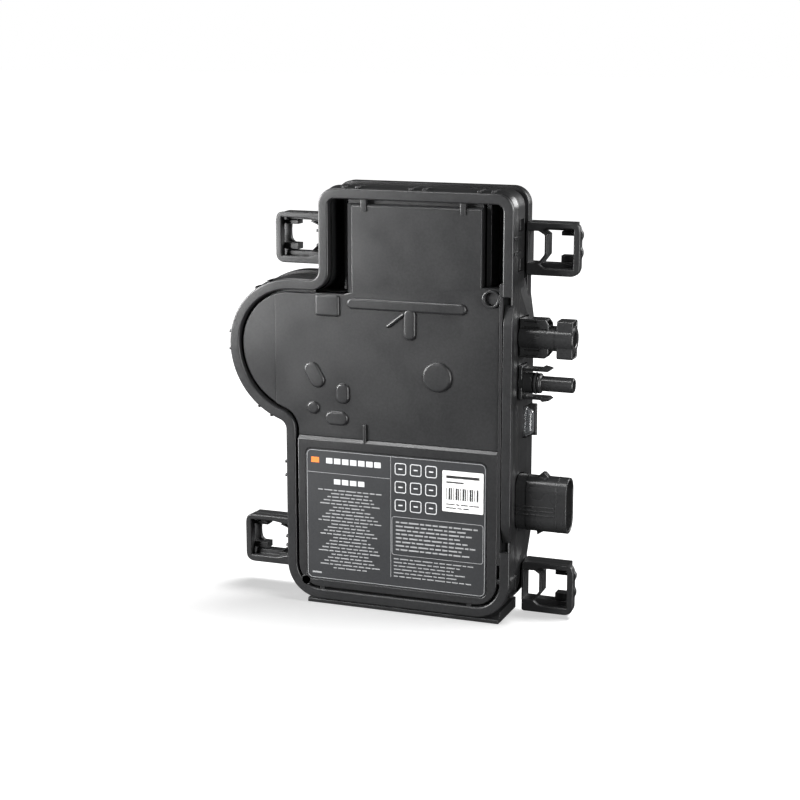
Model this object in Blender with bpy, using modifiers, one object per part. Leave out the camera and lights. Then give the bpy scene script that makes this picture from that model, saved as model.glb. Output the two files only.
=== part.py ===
"""Micro inverter: a flat plastic power converter that hangs behind one solar panel by four ears.

The unit stands upright: +Z is up, the front cover faces -Y and every connector points along +X. Lengths
below are in millimetres and become metres where a shape is made. They are counted from the front: y = 0 is
the rim of the front cover and z = 0 the underside of the foot. One empty carries all pieces, so that the
middle of the whole unit's underside lies at the origin.
"""

import math

import bmesh
import bpy

MM = 0.001
GAP = 0.3  # clearance kept between neighbouring pieces
REACH = 2.0  # how far a cutter runs past the wall that it cuts
ARC_STEP = 15.0  # degrees between the points of an arc

# Outline of the front rim, seen from the front.
RIM_LEFT = -42.9
LOWER_LEFT = -61.3
RIM_RIGHT = 56.3
RIM_TOP = 210.2
RIM_BOTTOM = 2.4
TOP_CORNER = 8.5
BOTTOM_CORNER = 17.7
BULGE_Z = 131.5
BULGE_UPPER = (-58.2, 33.3)  # centre x and radius of the arc above the widest point
BULGE_LOWER = (-51.5, 40.0)  # centre x and radius of the arc below it
BULGE_FILLET = 5.0

# Depths, from the front rim to the back.
RELIEF_FRONT = 0.02
RIM_BACK = 1.6
LIP_FRONT = 3.2
PANEL_FRONT = 1.0
BULGE_PANEL_FRONT = 1.6
GROOVE_BACK = 3.0
PORT_FLOOR = 4.0
COVER_BACK = 5.0
SEAL_LEDGE = 6.4
WELL_FLOOR = 19.0
REVEAL = (20.0, 24.0)
BACK_INSIDE = 27.8
DEPTH = 30.2

# How far each wall lies inside the outline.
SKIRT_INSET = 2.1
RIM_WIDTH = 5.3
PANEL_INSET = 6.3
LIP_WALL = 1.8
HOUSING_WALL = 3.4
REVEAL_INSET = 1.8
LIP_TOP = 211.2
FLANGE_TOP = 212.0
FLANGE_PROUD = 0.3
FOOT = (-50.5, 50.9)
FOOT_TOP = 2.1

# Relief of the front cover.
LEFT_WELL = (-37.4, -28.5, 160.6, 204.7)
RIGHT_WELL = (40.3, 50.8, 165.4, 204.7)
WELL_WALL = 0.7
RIDGE = (-28.2, 33.2, 151.8, 157.2)
RIDGE_LEG = (1.4, 7.4, 138.0)
PAD = (-45.0, -32.2, 147.4, 158.2)
LABEL_STEP_Z = 86.0
CREASE_X = -67.2
LABEL = (-50.5, 44.4, 13.0, 80.4)
LABEL_RECESS = 0.7
STICKER = (22.0, 43.0, 55.0, 75.5)
SHEET = 0.3
UPPER_PORT = (45.5, 160.4)
LOWER_PORT = (-51.0, 11.6)
PORT_HOLE = 3.1
LOWER_PORT_HOLE = 2.2
SNAP_RIB = 1.2
SNAP_RIB_DEPTH = (2.0, 12.0)
NOTCHES = (36.6, 157.6)
NOTCH_HEIGHT = 4.4
NOTCH_BACK = 2.6

# Connectors and the status window on the right side.
AXIS_Y = 15.1
RECEPTACLE_Z = 141.0
PLUG_Z = 118.8
AC_Z = 59.4
WALL_OUT = 56.6
CONNECTOR_END = 83.2
TAIL_START = 51.0
CONTACT_START = 49.0
CONTACT_END = 76.0
LATCH_HEIGHT = 6.9
LATCH_ROOT = 59.2
LATCH_WIDTH = 7.0
WINDOW_Y = 21.3
WINDOW_Z = 98.0
AC_PINS = (-7.0, 0.0, 7.0)
BLOCK_OUT = 58.1
BLOCK_FRONT = 8.0  # the slope leaves the wall a few millimetres behind this, inside the wall
BLOCK_EDGE = 21.0
BLOCK_ENDS = (20.5, 168.5)
BLOCK_SLANT = 19.5

# Mounting ears: outer x, x where the arms leave the housing, lowest z, x of the bent wall at its middle and ends.
EAR_FRONT = 19.2
EAR_HEIGHT = 25.4
EAR_ARM_LOW = 3.5
EAR_ARM_HIGH = 2.7
EAR_LIP_LOW = 5.6
EAR_LIP_HIGH = 4.0
EAR_LIP_FRONT = 24.0
EAR_BAR = 3.2
EAR_BAR_BACK = 24.4
EAR_WEB_FRONT = 27.4
EAR_WALL = 1.4
EAR_ROOT = 0.6
TONGUE_REACH = 10.4
TONGUE_FRONT = 23.5
EARS = {
    "mounting_ear_upper_right": (83.2, 56.9, 170.2, 65.9, 62.7),
    "mounting_ear_lower_right": (83.2, 56.9, 2.1, 65.9, 62.7),
    "mounting_ear_upper_left": (-74.3, -43.5, 170.2, -51.7, -56.5),
    "mounting_ear_lower_left": (-93.8, -61.9, 11.7, -69.9, -75.6),
}

# Circuit board and what stands on it.
BOARD_INSET = 6.6
BOARD = (22.0, 23.6)
PARTS_BACK = BOARD[0] - GAP
SPREADER_BACK = BOARD[1] + 1.6

CENTRE_X = -5.3
CENTRE_Y = 14.9

BLACK = (0.030, 0.030, 0.032)
DARK = (0.020, 0.020, 0.022)


def clear_scene():
    for obj in list(bpy.data.objects):
        bpy.data.objects.remove(obj, do_unlink=True)


def new_collection(name):
    made = bpy.data.collections.new(name)
    bpy.context.scene.collection.children.link(made)
    return made


clear_scene()
PARTS = new_collection("micro_inverter")
CUTTERS = new_collection("cutters")
CARRIER = bpy.data.objects.new("micro_inverter_carrier", None)
CARRIER.location = (-CENTRE_X * MM, -CENTRE_Y * MM, 0.0)
PARTS.objects.link(CARRIER)


def material(name, colour, roughness, metallic=0.0):
    made = bpy.data.materials.new(name)
    made.use_nodes = True
    shader = made.node_tree.nodes["Principled BSDF"]
    shader.inputs["Base Color"].default_value = (*colour, 1.0)
    shader.inputs["Roughness"].default_value = roughness
    shader.inputs["Metallic"].default_value = metallic
    return made


def add_object(name, mesh):
    obj = bpy.data.objects.new(name, mesh)
    obj.parent = CARRIER
    PARTS.objects.link(obj)
    return obj


def box(name, low, high):
    """A box between two corners."""
    mesh = bpy.data.meshes.new(name)
    cage = bmesh.new()
    bmesh.ops.create_cube(cage, size=1.0)
    size = [(b - a) * MM for a, b in zip(low, high)]
    bmesh.ops.scale(cage, vec=size, verts=cage.verts)
    cage.to_mesh(mesh)
    cage.free()
    obj = add_object(name, mesh)
    obj.location = [(a + b) / 2 * MM for a, b in zip(low, high)]
    return obj


def rod(name, start, end, across, radius, axis="X", segments=24):
    """A cylinder along X or Y from start to end; across holds its two other coordinates in order."""
    mesh = bpy.data.meshes.new(name)
    cage = bmesh.new()
    bmesh.ops.create_cone(cage, cap_ends=True, segments=segments, radius1=radius * MM, radius2=radius * MM,
                          depth=(end - start) * MM)
    cage.to_mesh(mesh)
    cage.free()
    mesh.shade_smooth()
    mesh.set_sharp_from_angle(angle=math.radians(40))
    obj = add_object(name, mesh)
    middle = (start + end) / 2
    if axis == "X":
        obj.rotation_euler = (0.0, math.radians(90), 0.0)
        obj.location = (middle * MM, across[0] * MM, across[1] * MM)
    else:
        obj.rotation_euler = (math.radians(90), 0.0, 0.0)
        obj.location = (across[0] * MM, middle * MM, across[1] * MM)
    return obj


TURNS = {
    "X": (math.radians(90), 0.0, math.radians(90)),  # drawn in y and z, extruded along X
    "Y": (math.radians(90), 0.0, 0.0),  # drawn in x and z, extruded along Y
    "Z": (0.0, 0.0, 0.0),  # drawn in x and y, extruded along Z
}


def extrude(name, loops, start, end, axis="Y"):
    """A plate whose outline and holes are the loops, between start and end on the axis, as a mesh."""
    flat = bpy.data.curves.new(name, "CURVE")
    flat.dimensions = "2D"
    flat.fill_mode = "BOTH"
    flat.extrude = (end - start) / 2 * MM
    for loop in loops:
        spline = flat.splines.new("POLY")
        spline.points.add(len(loop) - 1)
        for point, (u, v) in zip(spline.points, loop):
            point.co = (u * MM, v * MM, 0.0, 1.0)
        spline.use_cyclic_u = True
    guide = bpy.data.objects.new(name + "_outline", flat)
    CUTTERS.objects.link(guide)
    middle = (start + end) / 2 * MM
    guide.rotation_euler = TURNS[axis]
    guide.location = [middle if axis == letter else 0.0 for letter in "XYZ"]
    bpy.context.view_layer.update()
    graph = bpy.context.evaluated_depsgraph_get()
    mesh = bpy.data.meshes.new_from_object(guide.evaluated_get(graph))
    weld(mesh)
    obj = bpy.data.objects.new(name, mesh)
    obj.matrix_world = guide.matrix_world
    bpy.data.objects.remove(guide)
    obj.parent = CARRIER
    PARTS.objects.link(obj)
    return obj


def weld(mesh):
    cage = bmesh.new()
    cage.from_mesh(mesh)
    bmesh.ops.remove_doubles(cage, verts=cage.verts, dist=0.00001)
    bmesh.ops.recalc_face_normals(cage, faces=cage.faces)
    cage.to_mesh(mesh)
    cage.free()


def turned(name, profile, height, segments=24):
    """A turned piece on an axis along X; the profile holds (radius, x), end to start."""
    mesh = bpy.data.meshes.new(name)
    count = len(profile)
    points = [(radius * MM, 0.0, x * MM) for radius, x in profile]
    on_axis = profile[0][0] == 0.0
    edges = [(i, i + 1) for i in range(count - 1)]
    if not on_axis:
        edges.append((count - 1, 0))
    mesh.from_pydata(points, edges, [])
    obj = add_object(name, mesh)
    screw = obj.modifiers.new("Turn", "SCREW")
    screw.steps = segments
    screw.render_steps = segments
    screw.use_merge_vertices = True
    screw.merge_threshold = 0.00001
    obj.rotation_euler = (0.0, math.radians(90), 0.0)
    obj.location = (0.0, AXIS_Y * MM, height * MM)
    return obj


def combine(obj, others, operation):
    """Joins the others to the object, or cuts them from it."""
    for other in others:
        PARTS.objects.unlink(other)
        CUTTERS.objects.link(other)
        other.hide_render = True
        other.display_type = "WIRE"
        change = obj.modifiers.new(operation.title() + "_" + other.name, "BOOLEAN")
        change.operation = operation
        change.solver = "EXACT"
        change.object = other


def join(obj, *others):
    combine(obj, others, "UNION")


def cut(obj, *others):
    combine(obj, others, "DIFFERENCE")


def arc(centre, radius, start, end):
    """Points on an arc, with angles in degrees; it runs clockwise where end is below start."""
    steps = max(2, math.ceil(abs(end - start) / ARC_STEP))
    angles = [math.radians(start + (end - start) * i / steps) for i in range(steps + 1)]
    return [(centre[0] + radius * math.cos(a), centre[1] + radius * math.sin(a)) for a in angles]


def outline(inset=0.0, top=RIM_TOP):
    """The outline seen from the front, moved inwards by the inset: an upper box, a round bulge, a lower box."""
    low = RIM_BOTTOM + BOTTOM_CORNER
    grow = top - RIM_TOP
    upper_x, upper_radius = BULGE_UPPER[0], BULGE_UPPER[1] + grow
    lower_x, lower_radius = BULGE_LOWER[0], BULGE_LOWER[1] + grow
    bulge_top = BULGE_Z + upper_radius
    fillet_x = LOWER_LEFT - BULGE_FILLET
    reach = lower_radius + BULGE_FILLET
    fillet_z = BULGE_Z - math.sqrt(reach**2 - (fillet_x - lower_x) ** 2)
    meet = math.degrees(math.atan2(fillet_z - BULGE_Z, fillet_x - lower_x)) + 360
    return (
        arc((RIM_RIGHT - BOTTOM_CORNER, low), BOTTOM_CORNER - inset, -90, 0)
        + arc((RIM_RIGHT - TOP_CORNER, top - TOP_CORNER), TOP_CORNER - inset, 0, 90)
        + arc((RIM_LEFT + TOP_CORNER, top - TOP_CORNER), TOP_CORNER - inset, 90, 180)
        + arc((RIM_LEFT - BULGE_FILLET, bulge_top + BULGE_FILLET), BULGE_FILLET + inset, 0, -90)
        + arc((upper_x, BULGE_Z), upper_radius - inset, 90, 180)[:-1]
        + arc((lower_x, BULGE_Z), lower_radius - inset, 180, meet)
        + arc((fillet_x, fillet_z), BULGE_FILLET + inset, meet - 180, 0)
        + arc((LOWER_LEFT + BOTTOM_CORNER, low), BOTTOM_CORNER - inset, 180, 270)
    )


def rectangle(left, right, low, high, radius=0.0):
    if not radius:
        return [(left, low), (right, low), (right, high), (left, high)]
    return (
        arc((right - radius, low + radius), radius, -90, 0)
        + arc((right - radius, high - radius), radius, 0, 90)
        + arc((left + radius, high - radius), radius, 90, 180)
        + arc((left + radius, low + radius), radius, 180, 270)
    )


def capsule(start, end, radius):
    """A slot shape between two centres."""
    heading = math.degrees(math.atan2(end[1] - start[1], end[0] - start[0]))
    return arc(start, radius, heading + 90, heading + 270) + arc(end, radius, heading - 90, heading + 90)


def stadium(half_y, half_z, height):
    """An upright slot shape in y and z, for pieces on the connectors' axis."""
    rise = half_z - half_y
    return capsule((AXIS_Y, height - rise), (AXIS_Y, height + rise), half_y)


def upright(half_y, half_z, height, radius=0.0):
    """A rectangle in y and z, for pieces on the connectors' axis."""
    return rectangle(AXIS_Y - half_y, AXIS_Y + half_y, height - half_z, height + half_z, radius)


def paint(obj, name, colour, roughness, metallic=0.0):
    obj.data.materials.clear()
    obj.data.materials.append(material(name, colour, roughness, metallic))
    return obj


# ---------------------------------------------------------------- enclosure


def make_connector_block():
    """The thicker back edge behind the connectors, thinning to nothing at its front and at both ends."""
    low, high = BLOCK_ENDS
    inside = RIM_RIGHT - 1.0
    root = inside - 1.0
    shape = [(root, low), (inside, low), (BLOCK_OUT, low + BLOCK_SLANT), (BLOCK_OUT, high - BLOCK_SLANT),
             (inside, high), (root, high)]
    block = extrude("connector_block", [shape], BLOCK_FRONT, DEPTH - 0.2)
    past = BLOCK_OUT + REACH
    before = BLOCK_FRONT - REACH
    wedge = [(root, before), (past, before), (past, BLOCK_EDGE), (BLOCK_OUT, BLOCK_EDGE)]
    cut(block, extrude("block_wedge", [wedge], low - REACH, high + REACH, axis="Z"))
    return block


def make_snap_ribs():
    """Pairs of short ribs that bridge the joint between cover and housing, all round."""
    ribs = []
    front, back = SNAP_RIB_DEPTH
    for index, x in enumerate((-31.0, -24.0, 3.4, 10.4, 37.8, 44.8)):
        ribs.append(box(f"top_rib_{index}", (x, front, RIM_TOP - 1), (x + SNAP_RIB, back, LIP_TOP + 0.5)))
    rows = {
        "right_rib": (RIM_RIGHT - 1.5, RIM_RIGHT + 0.6, (13.6, 21.4, 181.6, 188.6)),
        "left_rib": (LOWER_LEFT - 0.8, LOWER_LEFT + 1.5, (27.8, 32.4, 64.4, 71.4)),
        "box_rib": (RIM_LEFT - 0.8, RIM_LEFT + 1.5, (181.6, 188.6)),
    }
    for name, (left, right, heights) in rows.items():
        for index, z in enumerate(heights):
            ribs.append(box(f"{name}_{index}", (left, front, z), (right, back, z + SNAP_RIB)))
    around = [(BULGE_UPPER, 111.0), (BULGE_UPPER, 124.0), (BULGE_UPPER, 171.0),
              (BULGE_LOWER, 185.0), (BULGE_LOWER, 232.0), (BULGE_LOWER, 243.0)]
    for index, ((centre_x, radius), angle) in enumerate(around):
        rib = box(f"bulge_rib_{index}", (-1.5, front, -SNAP_RIB / 2), (1.8, back, SNAP_RIB / 2))
        turn = math.radians(angle)
        reach = radius - 0.35
        rib.rotation_euler = (0.0, -turn, 0.0)
        rib.location.x = (centre_x + reach * math.cos(turn)) * MM
        rib.location.z = (BULGE_Z + reach * math.sin(turn)) * MM
        ribs.append(rib)
    return ribs


def make_rear_housing():
    """The back shell: a tray that takes the cover, with a reveal line round its back edge and a foot."""
    shell = extrude("rear_housing", [outline(0.0, LIP_TOP)], LIP_FRONT, DEPTH - 2.0)
    reveal = extrude("reveal", [outline(-REACH, LIP_TOP + REACH), outline(REVEAL_INSET, LIP_TOP)], *REVEAL)
    cut(shell, reveal)
    flange_edge = outline(-FLANGE_PROUD, FLANGE_TOP - FLANGE_PROUD)
    flange = extrude("back_flange", [flange_edge], REVEAL[1] - 0.5, DEPTH)
    foot = box("foot", (FOOT[0], LIP_FRONT + 0.2, 0.0), (FOOT[1], DEPTH - 0.1, RIM_BOTTOM + 3.0))
    toe = box("foot_toe", (FOOT[0] + 0.05, 0.4, 0.05), (FOOT[1] - 0.05, LIP_FRONT + 3.0, FOOT_TOP))
    join(shell, flange, foot, toe, make_connector_block(), *make_snap_ribs())
    cavity = extrude("cavity", [outline(HOUSING_WALL, LIP_TOP)], LIP_FRONT - REACH, BACK_INSIDE)
    rebate = extrude("rebate", [outline(LIP_WALL, LIP_TOP)], LIP_FRONT - REACH, SEAL_LEDGE)
    cut(shell, cavity, rebate, *make_side_openings())
    return paint(shell, "housing_plastic", BLACK, 0.55)


def make_side_openings():
    """The cored pockets of the right side, and the holes for the connectors and the status window."""
    outside = RIM_RIGHT + 4.0
    pockets = [
        box(f"side_pocket_{index}", (RIM_RIGHT - 2.2, 8.5, low), (outside, 18.6, high))
        for index, (low, high) in enumerate(((172.4, 178.6), (191.6, 197.4), (8.0, 25.0)))
    ]
    through = (TAIL_START - 4.0, outside)
    holes = [
        rod("receptacle_hole", *through, (AXIS_Y, RECEPTACLE_Z), 4.9),
        rod("plug_hole", *through, (AXIS_Y, PLUG_Z), 4.9),
        extrude("ac_hole", [stadium(5.5, 12.0, AC_Z)], *through, axis="X"),
        box("window_seat", (RIM_RIGHT - 2.3, WINDOW_Y - 4.0, WINDOW_Z - 7.8),
            (outside, 28.4, WINDOW_Z + 8.3)),
        rod("light_hole", through[0], RIM_RIGHT, (WINDOW_Y, WINDOW_Z), 1.9),
    ]
    seat = (RIM_RIGHT - 0.2, outside)
    flats = [
        extrude("receptacle_seat", [upright(6.6, 9.9, RECEPTACLE_Z)], *seat, axis="X"),
        extrude("plug_seat", [upright(5.2, 9.0, PLUG_Z)], *seat, axis="X"),
        extrude("ac_seat_flat", [stadium(7.6, 14.5, AC_Z)], *seat, axis="X"),
    ]
    return pockets + holes + flats


def make_wells():
    """Deep narrow wells on both sides of the raised plate, as (solid block, hollow) pairs."""
    pairs = []
    for index, (left, right, low, high) in enumerate((LEFT_WELL, RIGHT_WELL)):
        solid = box(f"well_block_{index}", (left - WELL_WALL, COVER_BACK - 1.5, low - WELL_WALL),
                    (right + WELL_WALL, WELL_FLOOR + WELL_WALL, high + WELL_WALL))
        hollow = box(f"well_hollow_{index}", (left, -REACH, low), (right, WELL_FLOOR, high))
        pairs.append((solid, hollow))
    return pairs


def make_cover_relief():
    """Ridges, pads and bosses that stand on the cover's panel."""
    left, right, low, high = RIDGE
    ridge_z = (low + high) / 2
    ridge_radius = (high - low) / 2
    leg_radius = (RIDGE_LEG[1] - RIDGE_LEG[0]) / 2
    leg_x = (RIDGE_LEG[0] + RIDGE_LEG[1]) / 2
    shapes = {
        "ridge": capsule((left + ridge_radius, ridge_z), (right - ridge_radius, ridge_z), ridge_radius),
        "ridge_leg": capsule((leg_x, RIDGE_LEG[2] + leg_radius), (leg_x, ridge_z), leg_radius),
        "slanted_rib": capsule((-6.8, 144.4), (1.2, 150.6), 1.0),
        "square_pad": rectangle(*PAD, radius=1.5),
        "round_bump": arc((18.6, 120.9), 7.4, 0, 345),
        "bump_slanted": capsule((-47.3, 120.4), (-44.3, 115.2), 3.9),
        "bump_upright": capsule((-30.8, 107.4), (-30.8, 111.2), 3.4),
        "bump_round": arc((-46.6, 101.2), 3.3, 0, 345),
        "bump_level": capsule((-36.4, 96.6), (-31.6, 96.6), 3.6),
        "port_boss": arc(UPPER_PORT, 4.4, 0, 345),
        "gate_rib": rectangle(-19.8, -18.4, 84.0, 94.6),
    }
    return [extrude(name, [shape], RELIEF_FRONT, GROOVE_BACK - 0.5) for name, shape in shapes.items()]


def make_bridges():
    """Small tabs that cross the groove between the rim and the panel."""
    places = {
        "bridge_top_left": (-20.8, -18.0, 199.6, 206.0),
        "bridge_top_right": (29.8, 32.4, 199.6, 206.0),
        "bridge_bottom_left": (-43.8, -41.6, 5.4, 9.6),
        "bridge_bottom_right": (34.4, 36.6, 5.4, 9.6),
        "bridge_right": (48.0, 52.6, 20.6, 22.8),
    }
    return [box(name, (left, 0.5, low), (right, GROOVE_BACK + 0.5, high))
            for name, (left, right, low, high) in places.items()]


def make_panel_cuts():
    """The groove inside the rim, and what lowers the panel above the label step and in the bulge."""
    middle = (RIM_WIDTH + PANEL_INSET) / 2
    groove = extrude("groove", [outline(RIM_WIDTH), outline(PANEL_INSET)], -REACH, GROOVE_BACK)
    above = [point for point in outline(middle) if point[1] > LABEL_STEP_Z]
    step = [(RIM_RIGHT - middle, LABEL_STEP_Z)] + above + [(LOWER_LEFT + middle, LABEL_STEP_Z)]
    bulge = [point for point in above if point[0] < CREASE_X]
    return [
        groove,
        extrude("panel_lowering", [step], -REACH, PANEL_FRONT),
        extrude("bulge_lowering", [bulge], -REACH, BULGE_PANEL_FRONT),
    ]


def make_front_cover():
    """The cover: an overhanging rim, a groove inside it and a panel with the relief, on one closed floor."""
    cover = extrude("front_cover", [outline(0.0)], 0.0, RIM_BACK)
    slab = extrude("cover_slab", [outline(SKIRT_INSET)], RIM_BACK - 0.6, COVER_BACK)
    join(cover, slab)
    cut(cover, *make_panel_cuts())
    wells = make_wells()
    join(cover, *make_cover_relief(), *make_bridges(), *[solid for solid, hollow in wells])
    ports = [
        rod("upper_port", -REACH, PORT_FLOOR, UPPER_PORT, PORT_HOLE, "Y"),
        rod("lower_port", -REACH, PORT_FLOOR, LOWER_PORT, LOWER_PORT_HOLE, "Y"),
    ]
    left, right, low, high = LABEL
    recess = box("label_recess", (left - GAP, -REACH, low - GAP), (right + GAP, LABEL_RECESS, high + GAP))
    notch_left = RIM_RIGHT - RIM_WIDTH + 0.4
    notches = [
        box(f"rim_notch_{index}", (notch_left, -REACH, z), (RIM_RIGHT + REACH, NOTCH_BACK, z + NOTCH_HEIGHT))
        for index, z in enumerate(NOTCHES)
    ]
    cut(cover, *[hollow for solid, hollow in wells], *ports, recess, *notches)
    rib_places = ((LEFT_WELL, -33.0, -31.6), (RIGHT_WELL, 41.4, 43.8))
    ribs = [
        box(f"well_rib_{index}", (rib_left, 6.0, well[2] - 0.5), (rib_right, WELL_FLOOR + 0.5, well[3] + 0.5))
        for index, (well, rib_left, rib_right) in enumerate(rib_places)
    ]
    join(cover, *ribs)
    return paint(cover, "cover_plastic", BLACK, 0.5)


def make_sheets():
    """The seal between the shells, the label, its white sticker and the plugs of the two filling ports."""
    bead = [outline(LIP_WALL + GAP + 0.1, LIP_TOP), outline(HOUSING_WALL - 0.1, LIP_TOP)]
    seal = extrude("perimeter_seal", bead, COVER_BACK + GAP, SEAL_LEDGE - GAP)
    paint(seal, "seal_rubber", (0.02, 0.02, 0.02), 0.8)
    label_back = LABEL_RECESS - GAP
    label = extrude("label_plate", [rectangle(*LABEL, radius=3.0)], label_back - SHEET, label_back)
    paint(label, "label_film", (0.018, 0.018, 0.019), 0.4)
    sticker = extrude("code_sticker", [rectangle(*STICKER, radius=0.6)], -0.4, -0.2)
    paint(sticker, "sticker_paper", (0.85, 0.85, 0.85), 0.6)
    plugs = {"upper_fill_plug": (UPPER_PORT, PORT_HOLE), "lower_fill_plug": (LOWER_PORT, LOWER_PORT_HOLE)}
    for name, (place, hole) in plugs.items():
        plug = rod(name, 2.0, PORT_FLOOR - GAP, place, hole - GAP, "Y")
        paint(plug, name + "_plastic", (0.06, 0.06, 0.06), 0.5)


# ---------------------------------------------------------------- mounting ears


def make_ear(name, outer, root, low, wall, wall_end):
    """A loop: two arms, an outer bar, lips and two tongues behind them, and a bent wall."""
    side = 1 if outer > root else -1
    high = low + EAR_HEIGHT
    body = [
        (root, low),
        (outer - side * 3.4, low),
        (outer - side * 1.0, low + 1.2),
        (outer, low + 3.6),
        (outer, high - 3.6),
        (outer - side * 0.8, high - 1.0),
        (outer - side * 2.6, high),
        (root, high),
    ]
    window = make_ear_window(side, low, high, outer, wall, wall_end)
    gap = make_ear_gap(side, low, high, root, wall, wall_end)
    ear = extrude(name, [body, window, gap], EAR_FRONT, DEPTH)
    bar = outer - side * EAR_BAR
    spans = {"lower_lip": (low + 1.0, low + EAR_LIP_LOW), "upper_lip": (high - EAR_LIP_HIGH, high - 1.0)}
    for lip_name, (lip_low, lip_high) in spans.items():
        lip_ends = sorted((wall_end, bar + side * 0.2))
        lip = box(f"{name}_{lip_name}", (lip_ends[0], EAR_LIP_FRONT, lip_low),
                  (lip_ends[1], DEPTH - 0.1, lip_high))
        join(ear, lip)
    relief_ends = sorted((bar - side * 0.25, outer + side * REACH))
    relief = box(name + "_relief", (relief_ends[0], EAR_BAR_BACK, low - REACH),
                 (relief_ends[1], DEPTH + REACH, high + REACH))
    cut(ear, relief)
    tongues = {"lower_tongue": (low + 6.3, low + 9.5), "upper_tongue": (high - 6.4, high - 4.4)}
    for tongue_name, (tongue_low, tongue_high) in tongues.items():
        tongue_ends = sorted((outer - side * TONGUE_REACH, bar + side * 0.9))
        tongue = box(f"{name}_{tongue_name}", (tongue_ends[0], TONGUE_FRONT, tongue_low),
                     (tongue_ends[1], DEPTH - 0.05, tongue_high))
        join(ear, tongue)
    nub_ends = sorted((outer - side, outer + side * 0.8))
    for index, z in enumerate((low + 9.4, low + 18.0)):
        nub = box(f"{name}_nub_{index}", (nub_ends[0], EAR_FRONT + 0.8, z),
                  (nub_ends[1], EAR_BAR_BACK - 0.6, z + 3.4))
        join(ear, nub)
    if side < 0:
        join(ear, make_ear_web(name, outer, low, high))
    return paint(ear, name + "_plastic", BLACK, 0.55)


def make_ear_window(side, low, high, outer, wall, wall_end):
    """The large opening between the bent wall and the bar."""
    bar = outer - side * EAR_BAR
    end = wall_end + side * EAR_WALL / 2
    middle = wall + side * EAR_WALL / 2
    return [
        (middle, low + 9.6),
        (end, low + 5.3),
        (end, low + EAR_ARM_LOW),
        (bar, low + EAR_ARM_LOW),
        (bar, high - EAR_ARM_HIGH),
        (end, high - EAR_ARM_HIGH),
        (end, high - 3.5),
        (middle, high - 6.0),
    ]


def make_ear_gap(side, low, high, root, wall, wall_end):
    """The narrow opening between the housing and the bent wall."""
    inner_end = root + side * EAR_ROOT
    end = wall_end - side * EAR_WALL / 2
    middle = wall - side * EAR_WALL / 2
    return [
        (inner_end, low + 5.8),
        (end, low + 5.8),
        (middle, low + 9.9),
        (middle, high - 6.3),
        (end, high - 4.1),
        (inner_end, high - 4.1),
    ]


def make_ear_web(name, outer, low, high):
    """The plate behind the bar of a left ear, with a hollow inner edge."""
    shape = [
        (outer + 0.2, low + 1.4),
        (outer + 7.0, low + 1.4),
        (outer + 7.0, low + 9.4),
        (outer + 5.4, low + 10.4),
        (outer + 4.7, low + 12.4),
        (outer + 4.6, low + 16.0),
        (outer + 5.0, high - 5.0),
        (outer + 5.8, high - 1.4),
        (outer + 0.2, high - 1.4),
    ]
    return extrude(name + "_web", [shape], EAR_WEB_FRONT, DEPTH - 0.2)


# ---------------------------------------------------------------- connectors


def make_receptacle():
    """The upper direct-current connector: a round core with two channels where a plug's latches lock."""
    z = RECEPTACLE_Z
    body = rod("dc_receptacle_body", WALL_OUT, CONNECTOR_END, (AXIS_Y, z), 6.1, segments=32)
    tail = rod("receptacle_tail", TAIL_START, WALL_OUT + 1.0, (AXIS_Y, z), 4.6)
    wing = [(WALL_OUT + 0.05, z - 9.4), (69.2, z - 9.4), (71.0, z - 7.0), (71.0, z + 7.0), (69.2, z + 9.4),
            (WALL_OUT + 0.05, z + 9.4)]
    wings = extrude("receptacle_wings", [wing], AXIS_Y - 4.4, AXIS_Y + 4.4)
    collar_edge = upright(6.0, 9.3, z, radius=2.4)
    collar = extrude("receptacle_collar", [collar_edge], 75.0, CONNECTOR_END - 0.05, axis="X")
    join(body, tail, wings, collar)
    bore = rod("receptacle_bore", 66.0, CONNECTOR_END + REACH, (AXIS_Y, z), 3.6)
    throat = rod("receptacle_throat", TAIL_START - REACH, 66.5, (AXIS_Y, z), 2.4)
    past = CONNECTOR_END + REACH
    channels = [
        extrude(f"receptacle_channel_{index}", [upright(3.0, 1.0, middle)], 60.0, past, axis="X")
        for index, middle in enumerate((z - 7.5, z + 7.5))
    ]
    groove_front = AXIS_Y - 6.0
    grooves = [
        box(f"receptacle_groove_{index}", (58.6, groove_front, middle - 0.4), (67.2, AXIS_Y - 3.6, middle + 0.4))
        for index, middle in enumerate((z - 4.6, z + 4.6))
    ]
    cut(body, bore, throat, *channels, *grooves)
    paint(body, "connector_plastic", DARK, 0.4)
    socket = [
        (1.6, CONTACT_END), (2.1, CONTACT_END), (2.1, CONTACT_START),
        (0.9, CONTACT_START), (0.9, 62.0), (1.6, 62.0),
    ]
    contact = turned("dc_receptacle_contact", socket, z)
    paint(contact, "receptacle_contact_metal", (0.75, 0.73, 0.68), 0.25, 1.0)


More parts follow.
